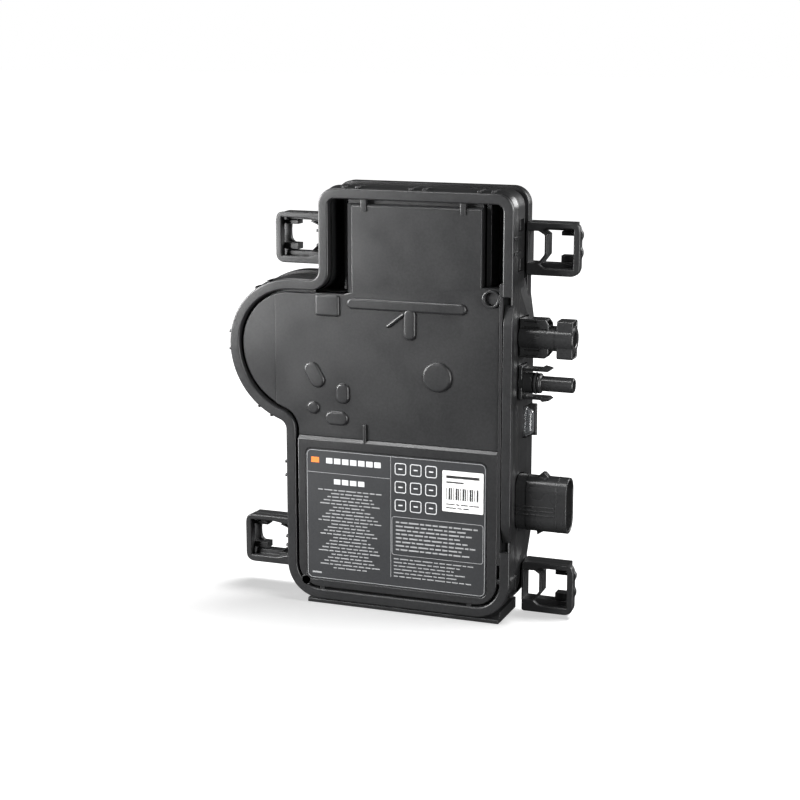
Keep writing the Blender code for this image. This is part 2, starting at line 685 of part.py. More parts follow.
def make_plug():
    """The lower direct-current connector: a hollow spigot with an O-ring, between two sprung latch arms."""
    z = PLUG_Z
    body = turned("dc_plug_body", [
        (2.3, CONNECTOR_END - 0.2), (3.2, CONNECTOR_END - 0.2), (3.7, CONNECTOR_END - 0.8),
        (3.7, 67.4), (4.9, 66.6), (4.9, 65.3), (4.0, 65.3), (4.0, 63.1), (5.0, 63.1),
        (5.0, WALL_OUT + 1.0), (4.6, WALL_OUT + 1.0), (4.6, TAIL_START), (2.3, TAIL_START),
    ], z, 28)
    plate = extrude("plug_plate", [upright(4.6, 8.4, z, radius=1.2)], WALL_OUT, WALL_OUT + 1.6, axis="X")
    plate_hole = rod("plug_plate_hole", WALL_OUT - REACH, WALL_OUT + REACH + 1.6, (AXIS_Y, z), 4.3)
    cut(plate, plate_hole)
    join(body, plate)
    paint(body, "plug_plastic", DARK, 0.4)
    pin_profile = [(0.0, 79.0), (1.2, 79.0), (1.7, 78.2), (1.7, CONTACT_START), (0.0, CONTACT_START)]
    pin = turned("dc_plug_pin", pin_profile, z)
    paint(pin, "plug_pin_metal", (0.75, 0.73, 0.68), 0.25, 1.0)
    ring_profile = [(4.75 + 0.5 * math.cos(a), 64.2 + 0.75 * math.sin(a))
                    for a in (math.radians(90 - 45 * i) for i in range(8))]
    ring = turned("dc_plug_o_ring", ring_profile, z, 28)
    paint(ring, "o_ring_rubber", (0.015, 0.015, 0.015), 0.6)


def make_latch_arm(name, side):
    """One latch arm with a barbed tip; its origin is on the line about which it bends, at its root."""
    x = LATCH_ROOT
    shape = [
        (x - 0.5, -0.7 * side), (71.0, -0.7 * side), (72.2, 0.4 * side),
        (68.0, 1.7 * side), (67.0, 0.8 * side), (x - 0.5, 0.7 * side),
    ]
    arm = extrude(name, [[(px - x, pz) for px, pz in shape]], -LATCH_WIDTH / 2, LATCH_WIDTH / 2)
    arm.location = (x * MM, AXIS_Y * MM, (PLUG_Z + side * LATCH_HEIGHT) * MM)
    return paint(arm, name + "_plastic", DARK, 0.4)


def make_ac_connector():
    """The alternating-current connector: an oval hood round three pins in a carrier, with fixed nubs."""
    z = AC_Z
    end = CONNECTOR_END - 1.3
    hood = extrude("ac_hood", [stadium(7.0, 13.9, z)], WALL_OUT, end, axis="X")
    tail = extrude("ac_tail", [stadium(5.2, 11.7, z)], TAIL_START, WALL_OUT + 1.0, axis="X")
    nub_high = [(66.4, z + 13.2), (71.4, z + 13.2), (69.4, z + 15.7), (68.0, z + 15.7)]
    nub_low = [(66.0, z - 13.2), (70.0, z - 13.2), (66.4, z - 15.6)]
    nubs = [extrude(f"ac_nub_{index}", [shape], AXIS_Y - 2.2, AXIS_Y + 2.2)
            for index, shape in enumerate((nub_high, nub_low))]
    rib_front = AXIS_Y - 7.5
    ribs = [
        box(f"ac_rib_{index}", (WALL_OUT + 0.4, rib_front, z + lift - 0.4), (76.0, AXIS_Y - 6.0, z + lift + 0.4))
        for index, lift in enumerate((-4.4, -2.4, -0.4))
    ]
    join(hood, tail, *nubs, *ribs)
    mouth = extrude("ac_mouth", [stadium(5.5, 12.4, z)], 62.0, end + REACH, axis="X")
    seat = extrude("ac_seat", [stadium(3.9, 10.2, z)], TAIL_START - REACH, 62.5, axis="X")
    peep = rod("ac_peep_hole", AXIS_Y - 9.0, AXIS_Y - 5.0, (68.0, z - 2.4), 0.6, "Y", 12)
    cut(hood, mouth, seat, peep)
    paint(hood, "ac_plastic", DARK, 0.4)
    carrier_edge = stadium(3.9 - GAP, 10.2 - GAP, z)
    carrier = extrude("ac_contact_carrier", [carrier_edge], TAIL_START + 1.0, 66.0, axis="X")
    cut(carrier, *[rod(f"ac_pin_hole_{index}", TAIL_START - REACH, 66.0 + REACH, (AXIS_Y, z + lift), 1.8)
                   for index, lift in enumerate(AC_PINS)])
    paint(carrier, "carrier_plastic", (0.05, 0.05, 0.05), 0.5)
    for index, lift in enumerate(AC_PINS):
        place = (AXIS_Y, z + lift)
        pin = rod(f"ac_contact_pin_{index + 1}", CONTACT_START, CONTACT_END, place, 1.5, segments=16)
        paint(pin, f"pin_metal_{index + 1}", (0.75, 0.73, 0.68), 0.25, 1.0)
    ring = extrude("ac_seal_ring", [stadium(5.2, 12.1, z), stadium(4.3, 11.2, z)], 62.4, 64.2, axis="X")
    paint(ring, "ac_seal_rubber", (0.02, 0.02, 0.02), 0.7)


def make_status_window():
    """The clear status lens on the right side, its dark guard, its light guide and the lamp inside."""
    shape = rectangle(WINDOW_Y - 3.7, WINDOW_Y + 3.7, WINDOW_Z - 7.5, WINDOW_Z + 7.5, radius=3.4)
    lens = extrude("status_lens", [shape], 54.4, 61.0, axis="X")
    soften = lens.modifiers.new("Soften", "BEVEL")
    soften.width = 2.2 * MM
    soften.segments = 3
    soften.limit_method = "ANGLE"
    soften.angle_limit = math.radians(60)
    paint(lens, "lens_clear", (0.75, 0.78, 0.8), 0.05)
    guard = box("status_lens_guard", (54.4, 25.6, WINDOW_Z - 7.7), (61.3, 28.0, WINDOW_Z + 8.1))
    paint(guard, "guard_plastic", DARK, 0.45)
    guide = rod("status_light_guide", 50.4, 53.6, (WINDOW_Y, WINDOW_Z), 1.5)
    paint(guide, "light_guide_clear", (0.8, 0.82, 0.84), 0.05)
    lamp = box("status_lamp", (46.6, PARTS_BACK - 2.2, WINDOW_Z - 1.6), (49.6, PARTS_BACK, WINDOW_Z + 1.6))
    paint(lamp, "lamp_clear", (0.85, 0.85, 0.75), 0.2)


# ---------------------------------------------------------------- inside


def make_board():
    """The circuit board behind the wells, the heat spreader behind it and the pad that presses on it."""
    board = extrude("circuit_board", [outline(BOARD_INSET, LIP_TOP)], *BOARD)
    paint(board, "board_laminate", (0.02, 0.10, 0.05), 0.5)
    spreader_edge = rectangle(-48.0, 44.0, 16.0, 150.0, radius=4.0)
    spreader = extrude("heat_spreader", [spreader_edge], BOARD[1] + GAP, SPREADER_BACK)
    paint(spreader, "spreader_metal", (0.7, 0.7, 0.72), 0.35, 1.0)
    pad_edge = rectangle(-46.0, 42.0, 18.0, 148.0, radius=3.0)
    pad = extrude("thermal_pad", [pad_edge], SPREADER_BACK + GAP, BACK_INSIDE - GAP)
    paint(pad, "pad_silicone", (0.45, 0.47, 0.5), 0.8)


def make_magnetics():
    """The transformer in the round bulge, a common-mode choke and an output inductor."""
    x, z = -62.0, 130.0
    front = 8.0
    core = box("transformer_core", (x - 17.0, front, z - 14.0), (x + 17.0, PARTS_BACK, z + 14.0))
    slots = [box(f"core_slot_{index}", (low, front + 3.4, z - 16.0), (high, PARTS_BACK - 3.4, z + 16.0))
             for index, (low, high) in enumerate(((x - 13.0, x - 5.5), (x + 5.5, x + 13.0)))]
    cut(core, *slots)
    paint(core, "ferrite", (0.06, 0.06, 0.065), 0.6)
    coil = extrude("transformer_winding", [rectangle(x - 12.6, x + 12.6, z - 18.0, z + 18.0, radius=4.0),
                                           rectangle(x - 5.9, x + 5.9, z - 14.4, z + 14.4)],
                   front + 3.8, PARTS_BACK - 3.8)
    paint(coil, "copper_winding", (0.75, 0.35, 0.18), 0.3, 1.0)
    make_choke((-30.0, 56.0))
    inductor = box("output_inductor", (-8.0, 9.0, 44.0), (14.0, PARTS_BACK, 66.0))
    paint(inductor, "inductor_ferrite", (0.08, 0.08, 0.085), 0.6)


def make_choke(centre):
    """The common-mode choke: a ring core inside two windings, each a hollow length of ring."""
    ring = [arc(centre, 9.5, 0, 345), arc(centre, 5.5, 0, 345)]
    core = extrude("choke_core", ring, 10.5, PARTS_BACK - 1.6)
    paint(core, "choke_ferrite", (0.10, 0.16, 0.12), 0.5)
    for index, start in enumerate((30, 210)):
        sector = arc(centre, 10.9, start, start + 120) + arc(centre, 4.1, start + 120, start)
        winding = extrude(f"choke_winding_{index + 1}", [sector], 9.2, PARTS_BACK)
        tunnel = [arc(centre, 9.8, 0, 345), arc(centre, 5.2, 0, 345)]
        cut(winding, extrude(f"choke_tunnel_{index}", tunnel, 10.2, PARTS_BACK - 1.3))
        paint(winding, f"choke_copper_{index + 1}", (0.75, 0.35, 0.18), 0.3, 1.0)


def make_small_parts():
    """Capacitors, switches, the control chip, the grid relay and the fuse."""
    for index, place in enumerate([(-24.0, 100.0), (-9.0, 100.0), (-24.0, 115.0), (-9.0, 115.0)]):
        can = rod(f"input_capacitor_{index + 1}", 8.0, PARTS_BACK, place, 6.2, "Y", 20)
        paint(can, f"can_sleeve_{index + 1}", (0.05, 0.06, 0.12), 0.4)
    switches = {"dc_switch": [(8.0, 112.0), (20.0, 112.0), (8.0, 126.0), (20.0, 126.0)],
                "ac_switch": [(20.0, 72.0), (32.0, 72.0)]}
    for kind, places in switches.items():
        for index, (x, z) in enumerate(places):
            switch = box(f"{kind}_{index + 1}", (x, PARTS_BACK - 2.3, z), (x + 9.0, PARTS_BACK, z + 10.0))
            paint(switch, f"{kind}_epoxy_{index + 1}", (0.03, 0.03, 0.03), 0.5)
    film = box("film_capacitor", (6.0, 9.5, 92.0), (32.0, PARTS_BACK, 106.0))
    paint(film, "film_case", (0.75, 0.62, 0.12), 0.5)
    chip = box("control_chip", (-40.0, PARTS_BACK - 1.4, 78.0), (-28.0, PARTS_BACK, 90.0))
    paint(chip, "chip_epoxy", (0.03, 0.03, 0.03), 0.4)
    relay = box("grid_relay", (20.0, 8.5, 24.0), (40.0, PARTS_BACK, 36.0))
    paint(relay, "relay_case", (0.10, 0.25, 0.45), 0.5)
    fuse = rod("ac_fuse", -20.0, 0.0, (17.5, 28.0), 3.0, segments=16)
    paint(fuse, "fuse_ceramic", (0.8, 0.78, 0.72), 0.3)


def make_links():
    """Bent copper straps from the board to the inner ends of the contacts."""
    shape = [(45.4, AXIS_Y - 0.5), (48.6, AXIS_Y - 0.5), (48.6, AXIS_Y + 0.5), (46.4, AXIS_Y + 0.5),
             (46.4, PARTS_BACK), (45.4, PARTS_BACK)]
    heights = {"dc_link": (RECEPTACLE_Z, PLUG_Z), "ac_link": [AC_Z + lift for lift in AC_PINS]}
    for kind, places in heights.items():
        for index, z in enumerate(places):
            link = extrude(f"{kind}_{index + 1}", [shape], z - 2.0, z + 2.0, axis="Z")
            paint(link, f"{kind}_copper_{index + 1}", (0.75, 0.4, 0.22), 0.3, 1.0)


def main():
    make_rear_housing()
    make_front_cover()
    make_sheets()
    for name, shape in EARS.items():
        make_ear(name, *shape)
    make_receptacle()
    make_plug()
    make_latch_arm("dc_plug_latch_upper", 1)
    make_latch_arm("dc_plug_latch_lower", -1)
    make_ac_connector()
    make_status_window()
    make_board()
    make_magnetics()
    make_small_parts()
    make_links()


main()
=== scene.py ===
"""Looks of the micro inverter: rounded mesh pieces, moulded materials, a pale floor and soft light.

Lengths are in millimetres in the unit's own drawing, where y = 0 is the rim of the front cover, z = 0 is the
underside of the foot and x is the drawing's own zero. The front cover's box in model.glb says where that
drawing lies.
"""

import math

import bmesh
import bpy
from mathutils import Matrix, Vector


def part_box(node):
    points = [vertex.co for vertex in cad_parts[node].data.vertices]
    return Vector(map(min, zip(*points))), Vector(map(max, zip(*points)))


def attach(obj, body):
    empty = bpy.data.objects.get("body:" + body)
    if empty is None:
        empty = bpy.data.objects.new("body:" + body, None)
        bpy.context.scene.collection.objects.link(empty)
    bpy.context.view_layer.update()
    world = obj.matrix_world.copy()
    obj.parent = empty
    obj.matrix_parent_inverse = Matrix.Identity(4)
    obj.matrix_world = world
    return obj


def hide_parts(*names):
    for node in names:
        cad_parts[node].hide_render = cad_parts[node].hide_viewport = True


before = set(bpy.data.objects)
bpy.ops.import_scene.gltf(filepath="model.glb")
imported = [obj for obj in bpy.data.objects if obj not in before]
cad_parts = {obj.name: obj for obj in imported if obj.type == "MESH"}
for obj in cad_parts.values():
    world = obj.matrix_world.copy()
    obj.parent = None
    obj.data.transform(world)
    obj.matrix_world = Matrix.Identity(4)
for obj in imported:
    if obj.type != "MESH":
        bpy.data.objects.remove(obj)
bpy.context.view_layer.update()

MM = 0.001
CIRCLE_STEP = 10.0  # degrees between the points of a circle
SLOT_STEP = 7.5  # degrees between the points of a slot's round ends
TURNED_SEGMENTS = 64

# Outline of the front rim.
RIM_LEFT = -42.9
LOWER_LEFT = -61.3
RIM_RIGHT = 56.3
RIM_TOP = 210.2
RIM_BOTTOM = 2.4
TOP_CORNER = 8.5
BOTTOM_CORNER = 17.7
BULGE_Z = 131.5
BULGE_UPPER = (-58.2, 33.3)
BULGE_LOWER = (-51.5, 40.0)
BULGE_FILLET = 5.0
LIP_TOP = 211.2
FLANGE_TOP = 211.7

# Cover. Depths are y values; a well is its (left, right, low, high); a port is its centre.
GROOVE_BACK = 3.0
RIM_WIDTH = 5.1
RIM_EDGE = [(0.0, 0.8), (0.06, 0.49), (0.23, 0.23), (0.49, 0.06), (0.8, 0.0)]  # quarter round, (inset, y)
RIM_BACK = 1.7
RIM_FOOT = GROOVE_BACK + 0.4
PANEL_INSET = 6.5
SKIRT_INSET = 2.1
BASE_FRONT = 4.6
COVER_BACK = 5.0
PANEL_FRONT = 1.3
BULGE_PANEL_FRONT = 2.0
RELIEF_FRONT = 0.03
LEFT_WELL = (-37.4, -28.5, 160.6, 204.7)
RIGHT_WELL = (40.3, 50.8, 165.4, 204.7)
WELL_FLOOR = 19.0
WELL_WALL = 0.7
PAD_TOP = 158.7
CREASE = -67.2
STEP = (85.2, 86.5)
LABEL = (-50.5, 44.4, 13.0, 80.4)
LABEL_FRONT = 0.1
LABEL_RECESS = 0.7
PRINT_FRONT = LABEL_FRONT - 0.04
PRINT_BACK = LABEL_FRONT + 0.05
STICKER_PRINT = (-0.40, -0.33)
UPPER_PORT = (45.5, 160.4)
UPPER_PORT_HOLE = 3.1
LOWER_PORT = (-51.0, 11.6)
LOWER_PORT_HOLE = 2.2
NOTCH_LOW = (36.6, 41.0)
NOTCH_HIGH = (157.6, 162.0)

# Housing.
LIP_WALL = 1.8
HOUSING_WALL = 3.4
BACK_INSIDE = 27.8
DEPTH = 30.2
FOOT = (-50.5, 50.9)
BLOCK_OUT = 58.1
BLOCK_ROOT = 55.3
BLOCK_ENDS = (20.5, 168.5)
BLOCK_SLANT = 19.5

# Connectors. Their axes run along X at the height given.
AXIS_Y = 15.1
RECEPTACLE_Z = 141.0
PLUG_Z = 118.8
AC_Z = 59.4
WALL_OUT = 56.6
CONNECTOR_END = 83.2
LATCH_ROOT = 59.2
LATCH_OFFSET = 6.9
LATCH_HALF_WIDTH = 3.5
LATCH_HALF_THICKNESS = 0.65
HOOD_HALF = (7.0, 13.9)
HOOD_WALL = 1.5

# Status lens, its seat and its guard.
WINDOW_Y = 21.3
WINDOW_Z = 98.0
SEAT_BACK = 28.4

# Ears: outer x, root x, lowest z, x of the bent wall at its middle and at its ends.
EAR_FRONT = 19.2
EAR_HEIGHT = 25.4
EAR_BAR = 3.2
EAR_ARM_LOW = 3.5
EAR_ARM_HIGH = 2.7
EAR_ROOT = 0.6
EAR_HALF_WALL = 0.7
EARS = {
    "mounting_ear_upper_right": (83.2, 56.9, 170.2, 65.9, 62.7),
    "mounting_ear_lower_right": (83.2, 56.9, 2.1, 65.9, 62.7),
    "mounting_ear_upper_left": (-74.3, -43.5, 170.2, -51.7, -56.5),
    "mounting_ear_lower_left": (-93.8, -61.9, 11.7, -69.9, -75.6),
}

COVER_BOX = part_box("front_cover")
SHIFT_X = COVER_BOX[1].x / MM - RIM_RIGHT
SHIFT_Y = COVER_BOX[0].y / MM


def at(x, y, z):
    """A point of the drawing, in metres in the frame."""
    return ((x + SHIFT_X) * MM, (y + SHIFT_Y) * MM, z * MM)


# ---------------------------------------------------------------- flat shapes


def arc(centre, radius, start, end, step=5.0):
    """Points on an arc, angles in degrees."""
    count = max(2, math.ceil(abs(end - start) / step))
    angles = [math.radians(start + (end - start) * i / count) for i in range(count + 1)]
    return [(centre[0] + radius * math.cos(a), centre[1] + radius * math.sin(a)) for a in angles]


def circle(centre, radius):
    """Points round a full circle."""
    return arc(centre, radius, 0, 360 - CIRCLE_STEP, CIRCLE_STEP)


def outline(inset=0.0, top=RIM_TOP):
    """The unit's outline moved inwards, from the top right corner round the left to the bottom right."""
    low = RIM_BOTTOM + BOTTOM_CORNER
    grow = top - RIM_TOP
    upper_x, upper_radius = BULGE_UPPER[0], BULGE_UPPER[1] + grow
    lower_x, lower_radius = BULGE_LOWER[0], BULGE_LOWER[1] + grow
    bulge_top = BULGE_Z + upper_radius
    fillet_x = LOWER_LEFT - BULGE_FILLET
    reach = lower_radius + BULGE_FILLET
    fillet_z = BULGE_Z - math.sqrt(reach**2 - (fillet_x - lower_x) ** 2)
    meet = math.degrees(math.atan2(fillet_z - BULGE_Z, fillet_x - lower_x)) + 360
    return (
        arc((RIM_RIGHT - TOP_CORNER, top - TOP_CORNER), TOP_CORNER - inset, 0, 90)
        + arc((RIM_LEFT + TOP_CORNER, top - TOP_CORNER), TOP_CORNER - inset, 90, 180)
        + arc((RIM_LEFT - BULGE_FILLET, bulge_top + BULGE_FILLET), BULGE_FILLET + inset, 0, -90)
        + arc((upper_x, BULGE_Z), upper_radius - inset, 90, 180, 3.0)[:-1]
        + arc((lower_x, BULGE_Z), lower_radius - inset, 180, meet, 3.0)
        + arc((fillet_x, fillet_z), BULGE_FILLET + inset, meet - 180, 0)
        + arc((LOWER_LEFT + BOTTOM_CORNER, low), BOTTOM_CORNER - inset, 180, 270)
        + arc((RIM_RIGHT - BOTTOM_CORNER, low), BOTTOM_CORNER - inset, -90, 0)
    )


def rectangle(left, right, low, high, radius=0.0):
    """Corners of a rectangle, rounded where a radius is given."""
    if not radius:
        return [(left, low), (right, low), (right, high), (left, high)]
    return (
        arc((right - radius, low + radius), radius, -90, 0, 15)
        + arc((right - radius, high - radius), radius, 0, 90, 15)
        + arc((left + radius, high - radius), radius, 90, 180, 15)
        + arc((left + radius, low + radius), radius, 180, 270, 15)
    )


def capsule(start, end, radius, step=CIRCLE_STEP):
    """A slot with round ends between two centres."""
    heading = math.degrees(math.atan2(end[1] - start[1], end[0] - start[0]))
    first = arc(start, radius, heading + 90, heading + 270, step)
    return first + arc(end, radius, heading - 90, heading + 90, step)


def upright_slot(half_y, half_z, height):
    """An upright slot round a connector's axis, seen from the right."""
    rise = half_z - half_y
    return capsule((AXIS_Y, height - rise), (AXIS_Y, height + rise), half_y, SLOT_STEP)


def upright_box(half_y, half_z, height, radius=0.0):
    """An upright rectangle round a connector's axis, seen from the right."""
    return rectangle(AXIS_Y - half_y, AXIS_Y + half_y, height - half_z, height + half_z, radius)


def soften(loop, radius, steps=3):
    """The loop with every corner rounded by about the radius."""
    made = []
    count = len(loop)
    for index, corner in enumerate(loop):
        before = loop[index - 1]
        after = loop[(index + 1) % count]
        ends = []
        for other in (before, after):
            length = math.dist(corner, other)
            share = min(radius, length * 0.45) / length
            ends.append(tuple(here + (there - here) * share for here, there in zip(corner, other)))
        for step in range(steps + 1):
            t = step / steps
            weights = ((1 - t) ** 2, 2 * t * (1 - t), t**2)
            points = (ends[0], corner, ends[1])
            made.append(tuple(sum(w * p[axis] for w, p in zip(weights, points)) for axis in (0, 1)))
    return made


# ---------------------------------------------------------------- meshes


TURNS = {
    "X": (math.radians(90), 0.0, math.radians(90)),
    "Y": (math.radians(90), 0.0, 0.0),
    "Z": (0.0, 0.0, 0.0),
}


def finish_cage(cage, name):
    """The edited mesh with doubled points merged and its faces turned outwards."""
    bmesh.ops.remove_doubles(cage, verts=cage.verts, dist=0.000002)
    bmesh.ops.recalc_face_normals(cage, faces=cage.faces)
    mesh = bpy.data.meshes.new(name)
    cage.to_mesh(mesh)
    cage.free()
    return mesh


def plate(loops, start, end, edge=0.3, axis="Y", rounds=2):
    """A plate with the given outline and holes, whose edges are rounded by the edge, as a mesh."""
    flat = bpy.data.curves.new("plate", "CURVE")
    flat.dimensions = "2D"
    flat.fill_mode = "BOTH"
    flat.extrude = max((end - start) / 2 - edge, 0.001) * MM
    flat.bevel_depth = edge * MM
    flat.bevel_resolution = rounds
    flat.offset = -edge * MM
    for loop in loops:
        spline = flat.splines.new("POLY")
        spline.points.add(len(loop) - 1)
        for point, (u, v) in zip(spline.points, loop):
            point.co = (u * MM, v * MM, 0.0, 1.0)
        spline.use_cyclic_u = True
    guide = bpy.data.objects.new("plate", flat)
    bpy.context.scene.collection.objects.link(guide)
    middle = (start + end) / 2
    guide.rotation_euler = TURNS[axis]
    guide.location = at(*[middle if axis == letter else 0.0 for letter in "XYZ"])
    bpy.context.view_layer.update()
    graph = bpy.context.evaluated_depsgraph_get()
    mesh = bpy.data.meshes.new_from_object(guide.evaluated_get(graph))
    mesh.transform(guide.matrix_world)
    bpy.data.objects.remove(guide)
    cage = bmesh.new()
    cage.from_mesh(mesh)
    bpy.data.meshes.remove(mesh)
    return finish_cage(cage, "plate")


def block(low, high, edge=0.3):
    """A box between two corners with rounded edges."""
    return plate([rectangle(low[0], high[0], low[2], high[2])], low[1], high[1], edge)


def sweep(profile, closed_path=True, path_ends=(), closed_profile=True):
    """A profile of (inset, y, top) points carried round the unit's outline."""
    cage = bmesh.new()
    rings = []
    for inset, y, top in profile:
        path = outline(inset, top)
        if path_ends:
            path = [(RIM_RIGHT - inset, path_ends[1])] + path + [(RIM_RIGHT - inset, path_ends[0])]
        rings.append([cage.verts.new(at(x, y, z)) for x, z in path])
    count = len(rings[0])
    pairs = list(zip(rings, rings[1:]))
    if closed_profile:
        pairs.append((rings[-1], rings[0]))
    last = count if closed_path else count - 1
    for here, there in pairs:
        for i in range(last):
            j = (i + 1) % count
            cage.faces.new((here[i], here[j], there[j], there[i]))
    if closed_path and not closed_profile:
        cage.faces.new(rings[0])
        cage.faces.new(rings[-1])
    if not closed_path:
        cage.faces.new([ring[0] for ring in rings])
        cage.faces.new([ring[-1] for ring in rings])
    return finish_cage(cage, "sweep")


def turned(profile, y, z):
    """A profile of (radius, x) points turned about an axis along X."""
    cage = bmesh.new()
    rings = []
    for radius, x in profile:
        ring = []
        for i in range(TURNED_SEGMENTS):
            angle = 2 * math.pi * i / TURNED_SEGMENTS
            ring.append(cage.verts.new(at(x, y + radius * math.cos(angle), z + radius * math.sin(angle))))
        rings.append(ring)
    pairs = list(zip(rings, rings[1:]))
    if profile[0][0] > 0:
        pairs.append((rings[-1], rings[0]))
    for here, there in pairs:
        for i in range(TURNED_SEGMENTS):
            j = (i + 1) % TURNED_SEGMENTS
            cage.faces.new((here[i], here[j], there[j], there[i]))
    return finish_cage(cage, "turned")


def hull(points, edge=0.3):
    """The convex body round the points, with rounded edges."""
    cage = bmesh.new()
    for point in points:
        cage.verts.new(at(*point))
    made = bmesh.ops.convex_hull(cage, input=cage.verts)
    loose = [item for item in made["geom_interior"] if isinstance(item, bmesh.types.BMVert)]
    bmesh.ops.delete(cage, geom=loose, context="VERTS")
    bmesh.ops.dissolve_limit(cage, angle_limit=0.02, verts=cage.verts, edges=cage.edges)
    bmesh.ops.bevel(cage, geom=cage.edges[:], offset=edge * MM, segments=2, profile=0.5, affect="EDGES")
    return finish_cage(cage, "hull")


def carve(mesh, cutters):
    """The mesh with the cutters taken away."""
    body = bpy.data.objects.new("carved", mesh)
    bpy.context.scene.collection.objects.link(body)
    tools = []
    for cutter in cutters:
        tool = bpy.data.objects.new("cutter", cutter)
        bpy.context.scene.collection.objects.link(tool)
        tools.append(tool)
        change = body.modifiers.new("Cut", "BOOLEAN")
        change.operation = "DIFFERENCE"
        change.solver = "EXACT"
        change.object = tool
    bpy.context.view_layer.update()
    graph = bpy.context.evaluated_depsgraph_get()
    carved = bpy.data.meshes.new_from_object(body.evaluated_get(graph))
    for temporary in [body] + tools:
        bpy.data.objects.remove(temporary)
    return carved


def piece(name, shapes, finish, stands_for=(), body="unit", sharp=38.0):
    """One named object made of the shapes; it rides on the body."""
    cage = bmesh.new()
    for shape in shapes:
        cage.from_mesh(shape)
        bpy.data.meshes.remove(shape)
    mesh = bpy.data.meshes.new(name)
    cage.to_mesh(mesh)
    cage.free()
    mesh.shade_smooth()
    mesh.set_sharp_from_angle(angle=math.radians(sharp))
    mesh.materials.clear()
    mesh.materials.append(finish)
    obj = bpy.data.objects.new(name, mesh)
    bpy.context.scene.collection.objects.link(obj)
    normals = obj.modifiers.new("Normals", "WEIGHTED_NORMAL")
    normals.keep_sharp = True
    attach(obj, body)
    if stands_for:
        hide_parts(*stands_for)
    return obj


# ---------------------------------------------------------------- materials


def start_material(name, colour, roughness, metallic=0.0):
    """A new material and its shader."""
    made = bpy.data.materials.new(name)
    made.use_nodes = True
    shader = made.node_tree.nodes["Principled BSDF"]
    shader.inputs["Base Color"].default_value = (*colour, 1.0)
    shader.inputs["Roughness"].default_value = roughness
    shader.inputs["Metallic"].default_value = metallic
    return made, shader


def add_noise(tree, scale, detail=2.0, stretch=None):
    """Noise in the object's own space, stretched along its axes where asked."""
    place = tree.nodes.new("ShaderNodeTexCoord")
    noise = tree.nodes.new("ShaderNodeTexNoise")
    noise.inputs["Scale"].default_value = scale
    noise.inputs["Detail"].default_value = detail
    source = place.outputs["Object"]
    if stretch:
        mapping = tree.nodes.new("ShaderNodeMapping")
        mapping.inputs["Scale"].default_value = stretch
        tree.links.new(source, mapping.inputs["Vector"])
        source = mapping.outputs["Vector"]
    tree.links.new(source, noise.inputs["Vector"])
    return noise.outputs["Fac"]


def spread(tree, value, low, high):
    """The noise value stretched to run from low to high."""
    ramp = tree.nodes.new("ShaderNodeMapRange")
    ramp.inputs["From Min"].default_value = 0.3
    ramp.inputs["From Max"].default_value = 0.7
    ramp.inputs["To Min"].default_value = low
    ramp.inputs["To Max"].default_value = high
    tree.links.new(value, ramp.inputs["Value"])
    return ramp.outputs["Result"]


def tint(tree, shader, value, dark, light):
    """The base colour runs from dark to light with the value."""
    mix = tree.nodes.new("ShaderNodeMix")
    mix.data_type = "RGBA"
    mix.inputs[6].default_value = (*dark, 1.0)
    mix.inputs[7].default_value = (*light, 1.0)
    tree.links.new(spread(tree, value, 0.0, 1.0), mix.inputs[0])
    tree.links.new(mix.outputs[2], shader.inputs["Base Color"])


def relief(tree, shader, value, depth):
    """Bumps of the given depth in millimetres."""
    bump = tree.nodes.new("ShaderNodeBump")
    bump.inputs["Distance"].default_value = depth * MM
    bump.inputs["Strength"].default_value = 1.0
    tree.links.new(value, bump.inputs["Height"])
    tree.links.new(bump.outputs["Normal"], shader.inputs["Normal"])


def moulded(name, colour, roughness, grain=2600.0, depth=0.03, swing=0.05, fleck=0.18):
    """Moulded plastic or rubber: fine erosion texture, slow gloss changes and a slightly uneven tone."""
    made, shader = start_material(name, colour, roughness)
    tree = made.node_tree
    slow = add_noise(tree, 45.0, 3.0)
    tree.links.new(spread(tree, slow, roughness - swing, roughness + swing), shader.inputs["Roughness"])
    dark = tuple(c * (1 - fleck) for c in colour)
    light = tuple(c * (1 + fleck) for c in colour)
    tint(tree, shader, add_noise(tree, 900.0, 4.0), dark, light)
    relief(tree, shader, add_noise(tree, grain, 2.0), depth)
    return made


def metal(name, colour, roughness, stretch=(1.0, 1.0, 1.0)):
    """Drawn or plated metal with fine lines along one direction."""
    made, shader = start_material(name, colour, roughness, 1.0)
    tree = made.node_tree
    lines = add_noise(tree, 1800.0, 3.0, stretch)
    tree.links.new(spread(tree, lines, roughness - 0.06, roughness + 0.08), shader.inputs["Roughness"])
    dark = tuple(c * 0.85 for c in colour)
    tint(tree, shader, add_noise(tree, 300.0, 3.0), dark, colour)
    relief(tree, shader, lines, 0.01)
    return made


def make_clear():
    """Clear moulded plastic with faint flow marks."""
    made, shader = start_material("clear_plastic", (0.42, 0.43, 0.44), 0.06)
    shader.inputs["Transmission Weight"].default_value = 0.85
    shader.inputs["IOR"].default_value = 1.5
    tree = made.node_tree
    flow = add_noise(tree, 220.0, 2.0, (1.0, 1.0, 0.35))
    tree.links.new(spread(tree, flow, 0.03, 0.12), shader.inputs["Roughness"])
    relief(tree, shader, flow, 0.15)
    return made


def make_painted_hole_shade():
    """Painted shade: plain black without a sheen, a dark sheet that stands for the shade in the mouth of a
    hole.
    """
    made, shader = start_material("painted_hole_shade", (0.0, 0.0, 0.0), 1.0)
    shader.inputs["Specular IOR Level"].default_value = 0.0
    return made


def make_lamp():
    """Pale resin of the lamp behind the lens."""
    made, shader = start_material("lamp_resin", (0.85, 0.86, 0.80), 0.25)
    tree = made.node_tree
    tint(tree, shader, add_noise(tree, 700.0, 2.0), (0.78, 0.78, 0.70), (0.90, 0.90, 0.84))
    relief(tree, shader, add_noise(tree, 900.0, 2.0), 0.02)
    return made


